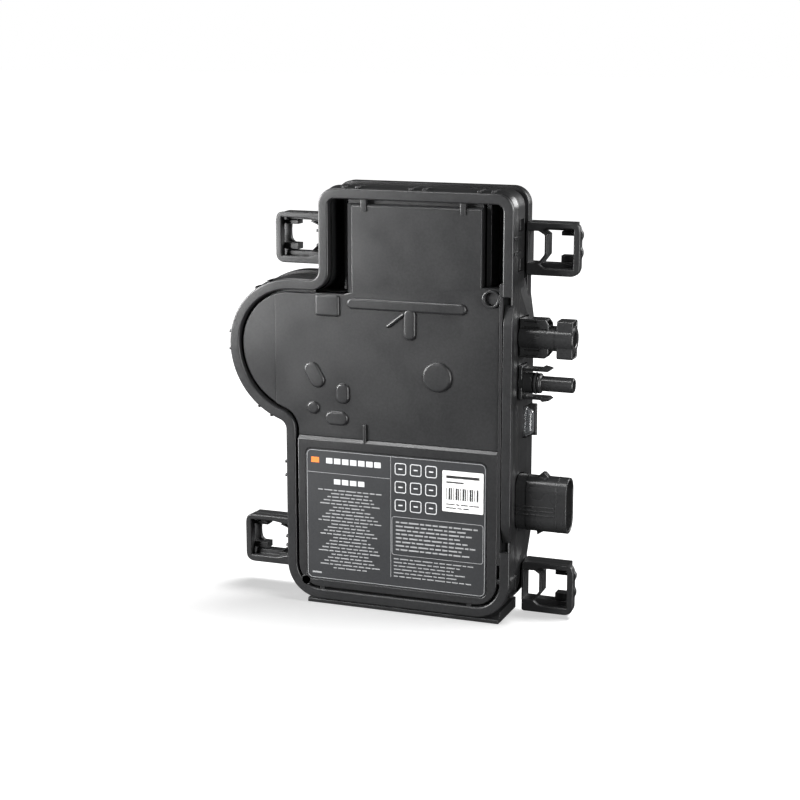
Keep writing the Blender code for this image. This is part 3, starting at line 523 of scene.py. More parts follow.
def make_winding_painted_shade(name):
    """Enamelled copper wire, wound side by side; the colour is darker in the grooves between turns as painted
    shade.
    """
    made, shader = start_material(name, (0.62, 0.25, 0.10), 0.3, 0.9)
    tree = made.node_tree
    place = tree.nodes.new("ShaderNodeTexCoord")
    turns = tree.nodes.new("ShaderNodeTexWave")
    turns.bands_direction = "Z"
    turns.inputs["Scale"].default_value = 320.0
    turns.inputs["Distortion"].default_value = 0.4
    tree.links.new(place.outputs["Object"], turns.inputs["Vector"])
    # painted shade: the colour darkens in the grooves between turns and lightens on their crests, in step
    # with the bumps
    tint(tree, shader, turns.outputs["Fac"], (0.38, 0.13, 0.05), (0.72, 0.32, 0.14))
    relief(tree, shader, turns.outputs["Fac"], 0.2)
    return made


# One black plastic in four tones, set for how light falls on each part: the housing is darker as painted
# shade on its tops, the ears and connectors lighter as painted light.
COVER = moulded("cover_plastic", (0.021, 0.0212, 0.0219), 0.33, grain=1900.0, depth=0.02)
HOUSING_PAINTED_SHADE = moulded("housing_plastic", (0.016, 0.0161, 0.0166), 0.32, grain=1900.0, depth=0.02)
EAR_PAINTED_LIGHT = moulded("ear_plastic_painted_light", (0.022, 0.0222, 0.0229), 0.34, grain=1900.0, depth=0.02)
CONNECTOR_PAINTED_LIGHT = moulded("connector_plastic", (0.024, 0.0242, 0.0248), 0.27, grain=3200.0, depth=0.01)
CARRIER = moulded("carrier_plastic", (0.10, 0.10, 0.105), 0.5)
# darker than the cover, as painted shade for the inside of the filling ports
PLUG_CAP_PAINTED_SHADE = moulded("plug_cap_plastic", (0.016, 0.016, 0.017), 0.42)
RUBBER = moulded("seal_rubber", (0.014, 0.014, 0.015), 0.72, depth=0.05)
LABEL_FILM = moulded("label_film", (0.028, 0.029, 0.031), 0.42, grain=4200.0, depth=0.008,
                     swing=0.03, fleck=0.08)
PRINT = moulded("print_ink", (0.62, 0.63, 0.64), 0.55, depth=0.01, fleck=0.05)
FINE_PRINT = moulded("fine_print_ink", (0.30, 0.305, 0.31), 0.55, depth=0.01, fleck=0.05)
MARK = moulded("print_orange", (0.80, 0.20, 0.03), 0.5, depth=0.01, fleck=0.06)
PAPER = moulded("sticker_paper", (0.84, 0.84, 0.83), 0.6, grain=1500.0, depth=0.01, fleck=0.03)
SOOT = moulded("sticker_ink", (0.02, 0.02, 0.02), 0.6, depth=0.01)
# black material of the disc that paints the shade inside the lower port's hole
HOLE_SHADE_PAINT = make_painted_hole_shade()
CLEAR = make_clear()
LAMP = make_lamp()
TIN = metal("contact_metal", (0.80, 0.79, 0.75), 0.28, (0.05, 1.0, 1.0))
ALUMINIUM = metal("spreader_aluminium", (0.77, 0.78, 0.80), 0.34, (0.05, 1.0, 1.0))
COPPER = metal("copper_link", (0.80, 0.42, 0.26), 0.3, (1.0, 0.1, 1.0))
WINDING_PAINTED_SHADE = make_winding_painted_shade("copper_winding")
SILICONE = moulded("pad_silicone", (0.42, 0.45, 0.49), 0.75, depth=0.08)
LAMINATE = moulded("board_laminate", (0.015, 0.10, 0.045), 0.38, grain=700.0, depth=0.02)
FERRITE = moulded("ferrite", (0.055, 0.055, 0.060), 0.55, grain=900.0, depth=0.1)
CHOKE = moulded("choke_coating", (0.09, 0.17, 0.12), 0.5, grain=900.0, depth=0.06)
SLEEVE = moulded("capacitor_sleeve", (0.03, 0.035, 0.07), 0.35)
EPOXY = moulded("chip_epoxy", (0.022, 0.022, 0.024), 0.5, depth=0.05)
FILM_CASE = moulded("film_case", (0.75, 0.55, 0.06), 0.45)
RELAY_CASE = moulded("relay_case", (0.08, 0.22, 0.45), 0.4)
CERAMIC = moulded("fuse_ceramic", (0.80, 0.78, 0.73), 0.3)

NODE_FINISHES = {
    "upper_fill_plug": PLUG_CAP_PAINTED_SHADE,
    "lower_fill_plug": PLUG_CAP_PAINTED_SHADE,
    "label_plate": LABEL_FILM,
    "code_sticker": PAPER,
    "perimeter_seal": RUBBER,
    "dc_receptacle_contact": TIN,
    "dc_plug_pin": TIN,
    "dc_plug_o_ring": RUBBER,
    "ac_contact_carrier": CARRIER,
    "ac_contact_pin_1": TIN,
    "ac_contact_pin_2": TIN,
    "ac_contact_pin_3": TIN,
    "ac_seal_ring": RUBBER,
    "status_light_guide": CLEAR,
    "status_lamp": LAMP,
    "circuit_board": LAMINATE,
    "heat_spreader": ALUMINIUM,
    "thermal_pad": SILICONE,
    "transformer_core": FERRITE,
    "transformer_winding": WINDING_PAINTED_SHADE,
    "output_inductor": FERRITE,
    "choke_core": CHOKE,
    "choke_winding_1": WINDING_PAINTED_SHADE,
    "choke_winding_2": WINDING_PAINTED_SHADE,
    "film_capacitor": FILM_CASE,
    "control_chip": EPOXY,
    "grid_relay": RELAY_CASE,
    "ac_fuse": CERAMIC,
}
NODE_FAMILIES = {
    "input_capacitor_": SLEEVE,
    "dc_switch_": EPOXY,
    "ac_switch_": EPOXY,
    "dc_link_": COPPER,
    "ac_link_": COPPER,
}


def paint_nodes():
    """Every CAD node gets its finish, also where a finer piece stands for it."""
    for name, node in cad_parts.items():
        finish = NODE_FINISHES.get(name)
        for family, shared in NODE_FAMILIES.items():
            if name.startswith(family):
                finish = shared
        node.data.materials.clear()
        node.data.materials.append(finish or HOUSING_PAINTED_SHADE)


# ---------------------------------------------------------------- cover


def make_rim():
    """The overhanging rim; on the right a strip between two notches bends back at both ends."""
    inner = [(RIM_WIDTH - u, v) for u, v in reversed(RIM_EDGE)]
    back = [(RIM_WIDTH, RIM_FOOT), (SKIRT_INSET, RIM_FOOT), (SKIRT_INSET, RIM_BACK), (0.3, RIM_BACK),
            (0.0, RIM_BACK - 0.3)]
    profile = [(u, v, RIM_TOP) for u, v in RIM_EDGE + inner + back]
    ring = sweep(profile, closed_path=False, path_ends=(NOTCH_LOW[0], NOTCH_HIGH[1]))
    side = [
        (0.0, 51.5), (0.0, 147.5), (0.5, 150.5), (1.5, 153.6), (3.0, 156.8), (3.6, NOTCH_HIGH[0]),
        (3.6, NOTCH_LOW[1]), (3.0, 42.0), (1.6, 45.2), (0.5, 48.4),
    ]
    strip = plate([side], RIM_RIGHT - RIM_WIDTH + 0.5, RIM_RIGHT, 0.4, axis="X")
    rib_low = (RIM_RIGHT - PANEL_INSET + 0.1, 0.05, 30.0)
    rib_high = (RIM_RIGHT - RIM_WIDTH + 0.1, GROOVE_BACK + 0.3, 168.0)
    return [ring, strip, block(rib_low, rib_high, 0.2)]


def make_base():
    """The floor behind groove and panel, with the two wells and the ports open."""
    left, right, low, high = LEFT_WELL
    fillet_centre = (RIM_LEFT - BULGE_FILLET, BULGE_Z + BULGE_UPPER[1] + BULGE_FILLET)
    fillet = arc(fillet_centre, 10.7, 0, -80)
    left_well = [(right, high), (left, high)] + fillet + [(-31.0, 159.2), (right, low)]
    wells = [left_well, rectangle(*RIGHT_WELL)]
    ports = [circle(UPPER_PORT, UPPER_PORT_HOLE), circle(LOWER_PORT, LOWER_PORT_HOLE)]
    shapes = [plate([outline(SKIRT_INSET)] + wells + ports, BASE_FRONT, COVER_BACK, 0.02)]
    for centre, hole in ((UPPER_PORT, UPPER_PORT_HOLE), (LOWER_PORT, LOWER_PORT_HOLE)):
        shapes.append(plate([circle(centre, hole + 0.5)], 4.2, COVER_BACK - 0.1, 0.05))
    top = high + WELL_WALL
    tub_right = [(right + WELL_WALL, 157.8), (right + WELL_WALL, top)]
    tub_left = [(left - WELL_WALL, top)] + arc(fillet_centre, 10.0, 0, -80) + [(-46.2, 157.8)]
    tubs = [tub_right + tub_left]
    left, right, low, high = RIGHT_WELL
    tubs.append(rectangle(left - WELL_WALL, right + WELL_WALL, low - WELL_WALL, high + WELL_WALL))
    for outside, inside in zip(tubs, wells):
        shapes.append(plate([outside, inside], COVER_BACK - 0.4, WELL_FLOOR + WELL_WALL, 0.02))
        shapes.append(plate([outside], WELL_FLOOR, WELL_FLOOR + WELL_WALL - 0.05, 0.02))
    shapes.append(block((-33.0, 10.0, 160.0), (-31.6, WELL_FLOOR + 0.3, 205.0), 0.3))
    shapes.append(block((41.4, 6.0, 165.1), (43.8, WELL_FLOOR + 0.3, 205.0), 0.3))
    return shapes


def make_panel():
    """The raised panel: main field, lower bulge field, higher label field and the slopes between them."""
    inner = outline(PANEL_INSET)
    right = RIM_RIGHT - PANEL_INSET
    left = LOWER_LEFT + PANEL_INSET
    top = RIM_TOP - PANEL_INSET
    upper_z = BULGE_Z + math.sqrt((BULGE_UPPER[1] - PANEL_INSET) ** 2 - (CREASE - BULGE_UPPER[0]) ** 2)
    lower_z = BULGE_Z - math.sqrt((BULGE_LOWER[1] - PANEL_INSET) ** 2 - (CREASE - BULGE_LOWER[0]) ** 2)
    above = [(x, z) for x, z in inner if CREASE < x < -36 and BULGE_Z < z < PAD_TOP]
    below = [(x, z) for x, z in inner if CREASE < x < 0 and STEP[1] < z < BULGE_Z]
    main = (
        [(right, STEP[1]), (right, RIGHT_WELL[2]), (RIGHT_WELL[0], RIGHT_WELL[2])]
        + [(RIGHT_WELL[0], top - 1.6), (-26.0, top - 1.6), (-26.0, LEFT_WELL[2] - 0.6), (-30.5, PAD_TOP)]
        + above + [(CREASE, upper_z), (CREASE, lower_z)] + below + [(left, STEP[1])]
    )
    bulge = [(x, z) for x, z in inner if x < CREASE + 0.9 and z > STEP[1]]
    label_field = [(right, STEP[0]), (left, STEP[0])] + [(x, z) for x, z in inner if z < 40]
    left_edge, right_edge, low_edge, high_edge = LABEL
    recess = rectangle(left_edge - 0.3, right_edge + 0.3, low_edge - 0.3, high_edge + 0.3, 3.3)
    recess_floor = rectangle(left_edge - 0.5, right_edge + 0.5, low_edge - 0.5, high_edge + 0.5)
    back = BASE_FRONT + 0.2
    return [
        plate([main, circle(UPPER_PORT, UPPER_PORT_HOLE + 0.5)], PANEL_FRONT, back, 0.5),
        plate([bulge], BULGE_PANEL_FRONT, back, 0.4),
        plate([label_field, recess, circle(LOWER_PORT, LOWER_PORT_HOLE)], 0.0, back, 0.4),
        plate([recess_floor], LABEL_RECESS, back, 0.02),
        plate([[(0.0, STEP[0]), (PANEL_FRONT, STEP[1]), (back, STEP[1]), (back, STEP[0])]],
              left + 0.3, right - 0.3, 0.02, axis="X"),
        plate([[(LEFT_WELL[1], 3.2), (-26.0, PANEL_FRONT), (-25.8, back), (LEFT_WELL[1], back)]],
              LEFT_WELL[2] - 1.0, top - 0.8, 0.02, axis="Z"),
        plate([[(PANEL_FRONT, top - 1.8), (2.2, top - 0.7), (back, top - 0.7), (back, top - 1.8)]],
              -26.2, RIGHT_WELL[0], 0.02, axis="X"),
    ]


def make_relief():
    """Ridges, pads and bosses on the panel, and the tabs that cross the groove."""
    shapes = {
        "ridge": capsule((-25.5, 154.5), (30.5, 154.5), 2.7),
        "leg": capsule((4.4, 141.0), (4.4, 150.6), 3.0),
        "slanted": capsule((-6.8, 144.4), (1.2, 150.6), 1.0),
        "pad": rectangle(-45.0, -32.2, 147.4, 158.2, 1.5),
        "bump": circle((18.6, 120.9), 7.4),
        "bump_slanted": capsule((-47.3, 120.4), (-44.3, 115.2), 3.9),
        "bump_upright": capsule((-30.8, 107.4), (-30.8, 111.2), 3.4),
        "bump_round": circle((-46.6, 101.2), 3.3),
        "bump_level": capsule((-36.4, 96.6), (-31.6, 96.6), 3.6),
    }
    made = [plate([shape], RELIEF_FRONT + 0.01 * index, GROOVE_BACK + 0.2, 1.1, rounds=3)
            for index, shape in enumerate(shapes.values())]
    made.append(plate([rectangle(-19.8, -18.4, 84.0, 94.6)], RELIEF_FRONT, GROOVE_BACK, 0.4))
    port_boss = [circle(UPPER_PORT, 4.4), circle(UPPER_PORT, UPPER_PORT_HOLE)]
    made.append(plate(port_boss, RELIEF_FRONT, GROOVE_BACK + 0.1, 0.4))
    tabs = [(-20.8, -18.0, 199.6, 206.0), (29.8, 32.4, 199.6, 206.0), (-43.8, -41.6, 5.4, 9.6),
            (34.4, 36.6, 5.4, 9.6), (48.0, 52.6, 20.6, 22.8)]
    for left, right, low, high in tabs:
        made.append(block((left, 0.5, low), (right, GROOVE_BACK + 0.3, high), 0.3))
    return made


def make_cover():
    """The front cover as one piece: rim, floor, panel and relief."""
    shapes = make_rim() + make_base() + make_panel() + make_relief()
    piece("front_cover_moulding", shapes, COVER, ["front_cover"])


# ---------------------------------------------------------------- housing


def window_seat(left, right):
    """What is cut away for the status lens and its guard."""
    return block((left, WINDOW_Y - 4.0, WINDOW_Z - 7.8), (right, SEAT_BACK, WINDOW_Z + 8.3), 0.2)


def make_shell():
    """The back shell as one swept wall with a closed back, carved by pockets and the seat of the window."""
    chain = [
        (0.7, 30.2), (0.2, 30.1), (-0.15, 29.8), (-0.3, 29.3), (-0.3, 24.7), (-0.2, 24.3), (0.1, 24.0),
        (1.8, 24.0), (1.8, 20.0), (0.8, 20.0), (0.5, 19.85), (0.4, 19.5), (0.4, 9.0), (0.3, 8.6), (0.0, 8.4),
        (0.0, 7.9), (0.15, 7.2), (0.9, 4.6), (1.25, 3.9), (LIP_WALL, 3.6), (LIP_WALL + 0.3, 3.6),
        (LIP_WALL + 0.3, 6.4), (HOUSING_WALL, 6.4), (HOUSING_WALL, BACK_INSIDE),
    ]
    profile = [(inset, y, FLANGE_TOP if y > 23 else LIP_TOP) for inset, y in chain]
    shell = sweep(profile, closed_profile=False)
    outside = RIM_RIGHT + 4.0
    pockets = [block((RIM_RIGHT - 2.2, 8.5, low), (outside, 18.6, high), 0.25)
               for low, high in ((172.4, 178.6), (191.6, 197.4), (8.0, 25.0))]
    return carve(shell, pockets + [window_seat(RIM_RIGHT - 2.3, outside)])


def make_connector_block():
    """The thicker edge behind the connectors, with a flat for each and the seat of the window."""
    low, high = BLOCK_ENDS
    front = 11.4
    ridge = 21.0
    back = DEPTH - 0.2
    body = hull([
        (BLOCK_ROOT, front, low), (BLOCK_ROOT, back, low),
        (BLOCK_ROOT, front, high), (BLOCK_ROOT, back, high),
        (BLOCK_OUT, ridge, low + BLOCK_SLANT), (BLOCK_OUT, back, low + BLOCK_SLANT),
        (BLOCK_OUT, ridge, high - BLOCK_SLANT), (BLOCK_OUT, back, high - BLOCK_SLANT),
    ], 0.25)
    outside = BLOCK_OUT + 3.0
    loops = [upright_box(6.6, 9.9, RECEPTACLE_Z), upright_box(5.2, 9.0, PLUG_Z)]
    loops.append(upright_slot(7.6, 14.5, AC_Z))
    flats = [plate([loop], RIM_RIGHT - 0.2, outside, 0.1, axis="X") for loop in loops]
    return carve(body, [window_seat(BLOCK_ROOT - 1.0, outside)] + flats)


def make_snap_ribs():
    """Pairs of short ribs that bridge the joint between cover and housing."""
    ribs = [block((x, 2.0, RIM_TOP - 1), (x + 1.2, 12.0, LIP_TOP + 0.2), 0.15)
            for x in (-31.0, -24.0, 3.4, 10.4, 37.8, 44.8)]
    rows = [
        (RIM_RIGHT - 1.5, RIM_RIGHT + 0.6, 2.0, (13.6, 21.4, 181.6, 188.6)),
        (LOWER_LEFT - 1.3, LOWER_LEFT + 1.5, 1.0, (27.8, 32.4, 64.4, 71.4)),
        (RIM_LEFT - 1.3, RIM_LEFT + 1.5, 1.0, (181.6, 188.6)),
    ]
    for left, right, front, heights in rows:
        ribs += [block((left, front, z), (right, 12.0, z + 1.2), 0.35) for z in heights]
    around = [(BULGE_UPPER, 111.0), (BULGE_UPPER, 124.0), (BULGE_UPPER, 171.0),
              (BULGE_LOWER, 185.0), (BULGE_LOWER, 232.0), (BULGE_LOWER, 243.0)]
    for (centre_x, radius), angle in around:
        turn = math.radians(angle)
        cos, sin = math.cos(turn), math.sin(turn)
        corners = [(radius - 1.85, -0.6), (radius + 1.1, -0.6), (radius + 1.1, 0.6), (radius - 1.85, 0.6)]
        loop = [(centre_x + u * cos - v * sin, BULGE_Z + u * sin + v * cos) for u, v in corners]
        ribs.append(plate([loop], 1.0, 7.0, 0.3))
    return ribs


def make_housing():
    """The rear housing as one piece: shell, thicker edge, foot and ribs."""
    foot = block((FOOT[0], 3.4, 0.0), (FOOT[1], DEPTH - 0.1, RIM_BOTTOM + 3.0), 0.4)
    toe = block((FOOT[0] + 0.05, 0.4, 0.05), (FOOT[1] - 0.05, 6.2, 2.1), 0.4)
    shapes = [make_shell(), make_connector_block(), foot, toe] + make_snap_ribs()
    piece("rear_housing_moulding", shapes, HOUSING_PAINTED_SHADE, ["rear_housing"])


# ---------------------------------------------------------------- ears


def ear_body(side, low, high, outer, root, nubs):
    """The ear's outer edge, with two low waves on its bar where nubs is set."""
    corner_low = [(outer - side * 3.4, low), (outer - side * 1.0, low + 1.2), (outer, low + 3.6)]
    corner_high = [(outer, high - 3.6), (outer - side * 0.8, high - 1.0), (outer - side * 2.6, high)]
    waves = []
    if nubs:
        for z in (low + 9.4, low + 18.0):
            waves += [(outer, z - 0.8), (outer + side * 0.8, z + 0.6), (outer + side * 0.8, z + 2.8)]
            waves += [(outer, z + 4.2)]
    return [(root, low)] + corner_low + waves[:-1] + corner_high + [(root, high)]


def ear_window(side, low, high, outer, wall, wall_end, slack=0.0):
    """The large opening between the bent wall and the bar."""
    bar = outer - side * (EAR_BAR - slack)
    end = wall_end + side * (EAR_HALF_WALL - slack)
    middle = wall + side * (EAR_HALF_WALL - slack)
    floor = low + EAR_ARM_LOW - slack
    roof = high - EAR_ARM_HIGH + slack
    return [(middle, low + 9.6), (end, low + 5.3), (end, floor), (bar, floor),
            (bar, roof), (end, roof), (end, roof - 1.0), (middle, high - 6.0)]


def ear_mouth(side, low, high, outer, root):
    """The opening of the front frame, with cut corners next to the housing."""
    bar = outer - side * EAR_BAR
    inner = root + side * EAR_ROOT
    floor = low + EAR_ARM_LOW
    roof = high - EAR_ARM_HIGH
    cut = inner + side * 5.2
    return [(bar, floor), (bar, roof), (bar - side * 13.4, roof), (cut, high - 4.2),
            (inner, high - 4.2), (inner, low + 5.8), (cut, low + 5.8), (bar - side * 14.4, floor)]


def ear_gap(side, low, high, root, wall, wall_end):
    """The narrow opening between the housing and the bent wall."""
    inner_end = root + side * EAR_ROOT
    end = wall_end - side * EAR_HALF_WALL
    middle = wall - side * EAR_HALF_WALL
    return [(inner_end, low + 5.8), (end, low + 5.8), (middle, low + 9.9), (middle, high - 6.3),
            (end, high - 4.4), (inner_end, high - 4.4)]


def make_ear(name, outer, root, low, wall, wall_end):
    """A front frame with a slimmer middle; behind them lips, two tongues and the bent wall."""
    side = 1 if outer > root else -1
    high = low + EAR_HEIGHT
    bar = outer - side * EAR_BAR
    half = side * EAR_HALF_WALL
    gap = soften(ear_gap(side, low, high, root, wall, wall_end), 0.5)
    front_body = soften(ear_body(side, low, high, outer, root, False), 1.4)
    middle_body = soften(ear_body(side, low + 0.2, high - 0.2, outer - side * 0.15, root, True), 0.8)
    slim = soften(ear_window(side, low, high, outer, wall, wall_end, slack=0.4), 0.3)
    mouth = soften(ear_mouth(side, low, high, outer, root), 0.4)
    shapes = [
        plate([front_body, mouth], EAR_FRONT, 21.7, 0.55, rounds=3),
        plate([middle_body, slim, gap], 21.5, 24.4, 0.2),
    ]
    blocks = [
        (root, bar, low + 0.1, low + EAR_ARM_LOW, 0.0),
        (root, bar, high - EAR_ARM_HIGH, high - 0.1, 0.0),
        (wall_end, bar - half, low + 2.6, low + 5.6, 0.1),
        (wall_end, bar - half, high - 4.0, high - 1.4, 0.1),
        (outer - side * 10.4, bar + side, low + 6.3, low + 9.5, 0.05),
        (outer - side * 10.4, bar + side, high - 6.4, high - 4.4, 0.05),
        (root, root + side * EAR_ROOT, low + 0.4, high - 0.4, 0.15),
        (root, wall_end, low + 2.6, low + 5.8, 0.2),
        (root, wall_end, high - 4.4, high - 1.2, 0.2),
    ]
    for start, end, floor, roof, inset in blocks:
        shapes.append(plate([rectangle(min(start, end), max(start, end), floor, roof)],
                            24.0 + inset, DEPTH - inset, 0.28))
    bent = [(wall_end - half, low + 3.0), (wall_end + half, low + 3.0), (wall_end + half, low + 5.3),
            (wall + half, low + 9.6), (wall + half, high - 6.0), (wall_end + half, high - 3.8),
            (wall_end + half, high - 1.6), (wall_end - half, high - 1.6), (wall_end - half, high - 4.0),
            (wall - half, high - 6.3), (wall - half, low + 9.9), (wall_end - half, low + 5.8)]
    shapes.append(plate([bent], 24.1, DEPTH - 0.1, 0.3))
    if side < 0:
        web = [(0.2, low + 1.4), (7.0, low + 1.4), (7.0, low + 9.4), (5.4, low + 10.4), (4.7, low + 12.4),
               (4.6, low + 16.0), (5.0, high - 5.0), (5.8, high - 1.4), (0.2, high - 1.4)]
        web = [(outer + reach, height) for reach, height in web]
        shapes.append(plate([soften(web, 1.0)], 27.4, DEPTH - 0.2, 0.35))
    piece(name + "_moulding", shapes, EAR_PAINTED_LIGHT, [name])


# ---------------------------------------------------------------- connectors


def make_receptacle():
    """Round core with two slotted wings, and a rounded collar with two channels and the bore at its end."""
    z = RECEPTACLE_Z
    core = [(6.1, 74.6), (6.1, WALL_OUT), (2.4, WALL_OUT), (2.4, 66.0), (3.6, 66.0), (3.6, 74.6)]
    lead = [(6.1, 74.0), (6.1, 82.4), (6.0, 82.9), (5.7, CONNECTOR_END), (4.1, CONNECTOR_END), (3.7, 82.9),
            (3.6, 82.4), (3.6, 74.0)]
    shapes = [turned(soften(core, 0.15), AXIS_Y, z), turned(lead, AXIS_Y, z)]
    for side in (1, -1):
        wing = [(WALL_OUT + 0.05, z + side * 4.4), (WALL_OUT + 0.05, z + side * 9.4), (69.2, z + side * 9.4),
                (71.0, z + side * 7.0), (71.0, z + side * 4.4)]
        slots = []
        for end, start, stop in ((66.6, 5.2, 5.9), (65.0, 7.9, 8.4)):
            near = z + side * start
            far = z + side * stop
            slots.append([(58.6, near), (end, near), (end, far), (58.6, far)])
        wing_mesh = plate([soften(wing, 0.4)], AXIS_Y - 4.4, AXIS_Y + 4.4, 0.6)
        cutters = [plate([loop], AXIS_Y - 6.0, AXIS_Y - 3.5, 0.02) for loop in slots]
        channel = plate([upright_box(3.0, 1.0, z + side * 7.5)], 60.0, CONNECTOR_END, 0.1, axis="X")
        shapes.append(carve(wing_mesh, cutters + [channel]))
    collar = [upright_box(4.7, 9.3, z, 1.4), circle((AXIS_Y, z), 4.0)]
    collar += [upright_box(2.8, 0.9, z + side * 7.5, 0.5) for side in (1, -1)]
    shapes.append(plate(collar, 75.0, CONNECTOR_END - 0.3, 0.5, axis="X"))
    piece("dc_receptacle_moulding", shapes, CONNECTOR_PAINTED_LIGHT, ["dc_receptacle_body"])


def make_plug():
    """Hollow spigot with a grooved shoulder for the O-ring, on a base plate."""
    z = PLUG_Z
    tip = CONNECTOR_END - 0.2
    profile = [
        (2.3, 82.6), (2.6, tip), (3.2, tip), (3.55, 82.7), (3.7, 82.2), (3.7, 67.6), (3.9, 67.2),
        (4.75, 66.7), (4.9, 66.4), (4.9, 65.5), (4.8, 65.3), (4.0, 65.3), (4.0, 63.1), (4.9, 63.1),
        (5.0, 62.9), (5.0, 59.4), (5.1, 59.2), (5.1, 58.6), (5.0, 58.4), (5.0, WALL_OUT), (2.3, WALL_OUT),
    ]
    body = turned(profile, AXIS_Y, z)
    base_loops = [upright_box(4.6, 8.4, z, 1.2), circle((AXIS_Y, z), 4.4)]
    base = plate(base_loops, WALL_OUT, WALL_OUT + 1.6, 0.3, axis="X")
    piece("dc_plug_moulding", [body, base], CONNECTOR_PAINTED_LIGHT, ["dc_plug_body"])


def make_latches():
    """The two sprung arms beside the plug's spigot, each with a barb at its tip."""
    start = LATCH_ROOT - 0.4
    for name, side in (("dc_plug_latch_upper", 1), ("dc_plug_latch_lower", -1)):
        z = PLUG_Z + side * LATCH_OFFSET
        half = LATCH_HALF_THICKNESS * side
        arm = [(start, z - half), (70.6, z - half), (72.1, z + 0.35 * side), (71.2, z + 0.9 * side),
               (68.0, z + 1.6 * side), (67.2, z + 0.75 * side), (start, z + half)]
        shape = plate([soften(arm, 0.25)], AXIS_Y - LATCH_HALF_WIDTH, AXIS_Y + LATCH_HALF_WIDTH, 0.25)
        body = "latch_upper" if side > 0 else "latch_lower"
        piece(name + "_moulding", [shape], CONNECTOR_PAINTED_LIGHT, [name], body=body)


def make_ac_hood():
    """Oval hood with a rounded mouth, three fine ribs, a small port and two fixed nubs."""
    z = AC_Z
    end = CONNECTOR_END - 1.3
    outside = upright_slot(*HOOD_HALF, z)
    inside = upright_slot(*[half - HOOD_WALL for half in HOOD_HALF], z)
    wall = plate([outside, inside], 61.0, end, 0.35, axis="X")
    heel = plate([outside, upright_slot(3.9, 10.2, z)], WALL_OUT, 62.0, 0.05, axis="X")
    peep = plate([circle((68.0, z - 2.4), 0.6)], AXIS_Y - 9.0, AXIS_Y - 5.0, 0.02)
    step = plate([upright_slot(7.15, 14.0, z), upright_slot(6.0, 13.0, z)], 76.4, 77.2, 0.1, axis="X")
    shapes = [carve(wall, [peep]), heel, step]
    nub_high = [(65.6, z + 13.2), (72.0, z + 13.2), (69.6, z + 15.7), (68.2, z + 15.7)]
    nub_low = [(66.0, z - 13.2), (70.0, z - 13.2), (66.4, z - 15.6)]
    shapes += [plate([soften(loop, 0.3)], AXIS_Y - 2.2, AXIS_Y + 2.2, 0.3) for loop in (nub_high, nub_low)]
    for height in (z - 4.4, z - 2.4, z - 0.4):
        rib_low = (WALL_OUT + 0.4, AXIS_Y - 7.45, height - 0.35)
        shapes.append(block(rib_low, (76.0, AXIS_Y - 6.2, height + 0.35), 0.2))
    piece("ac_hood_moulding", shapes, CONNECTOR_PAINTED_LIGHT, ["ac_hood"])


def make_window():
    """The clear status lens with a stepped, domed face, and the dark guard behind it."""
    foot = plate([rectangle(WINDOW_Y - 3.7, WINDOW_Y + 3.7, WINDOW_Z - 7.5, WINDOW_Z + 7.5, 3.4)],
                 54.5, 58.2, 0.4, axis="X", rounds=3)
    dome = plate([rectangle(WINDOW_Y - 2.9, WINDOW_Y + 2.9, WINDOW_Z - 6.6, WINDOW_Z + 6.6, 2.8)],
                 57.0, 61.0, 2.3, axis="X", rounds=6)
    piece("status_lens_dome", [foot, dome], CLEAR, ["status_lens"], sharp=60)
    guard = block((54.5, 25.6, WINDOW_Z - 7.7), (61.3, 28.0, WINDOW_Z + 8.1), 0.5)
    piece("status_lens_guard_moulding", [guard], CONNECTOR_PAINTED_LIGHT, ["status_lens_guard"])


def make_lower_port():
    """A black disc of painted shade in the mouth of the lower filling port, where groove and rim meet, and
    the thin ring round it.
    """
    # painted shade: a black disc stands for the shade inside the port's hole
    mouth = plate([circle(LOWER_PORT, LOWER_PORT_HOLE + 0.05)], -0.04, 0.3, 0.0)
    piece("lower_port_painted_shade", [mouth], HOLE_SHADE_PAINT)
    ring_loops = [circle(LOWER_PORT, LOWER_PORT_HOLE + 0.4), circle(LOWER_PORT, LOWER_PORT_HOLE)]
    ring = plate(ring_loops, -0.12, 0.6, 0.1)
    piece("lower_port_ring", [ring], COVER)


# ---------------------------------------------------------------- label


def bars(rows, front=PRINT_FRONT, back=PRINT_BACK):
    """Thin printed bars, each (left, right, low, high)."""
    return [plate([rectangle(*row)], front, back, 0.0) for row in rows]


def dashes(left, right, low, height, seed):
    """One row of plain dashes of changing length between left and right."""
    made = []
    x = left
    index = seed
    lengths = (2.6, 4.4, 1.8, 3.6, 5.2, 2.2, 3.0)
    while x + 1.2 < right:
        length = min(lengths[index % len(lengths)], right - x)
        made.append((x, x + length, low, low + height))
        x += length + 0.7
        index += 1
    return made


def thin_frame(left, right, low, high, radius, width):
    """A thin rounded line round a field."""
    outside = rectangle(left, right, low, high, radius)
    inside = rectangle(left + width, right - width, low + width, high - width, radius - width)
    return plate([outside, inside], PRINT_FRONT, PRINT_BACK, 0.0)


def heading(start, count, low, high):
    """A row of equal blocks where a name or a number would stand."""
    return [(start + index * 4.3, start + 3.4 + index * 4.3, low, high) for index in range(count)]


def make_headings():
    """Two headings, and a square of nine framed bars in place of symbols."""
    shapes = bars(heading(-39.6, 7, 73.4, 76.2)) + bars(heading(-35.4, 4, 63.0, 65.6))
    for column in range(3):
        for line in range(3):
            left = -3.0 + column * 8.0
            low = 52.5 + line * 9.2
            shapes.append(thin_frame(left, left + 6.0, low, low + 6.0, 1.2, 0.4))
            shapes += bars([(left + 1.9, left + 4.1, low + 2.7, low + 3.3)])
    return shapes


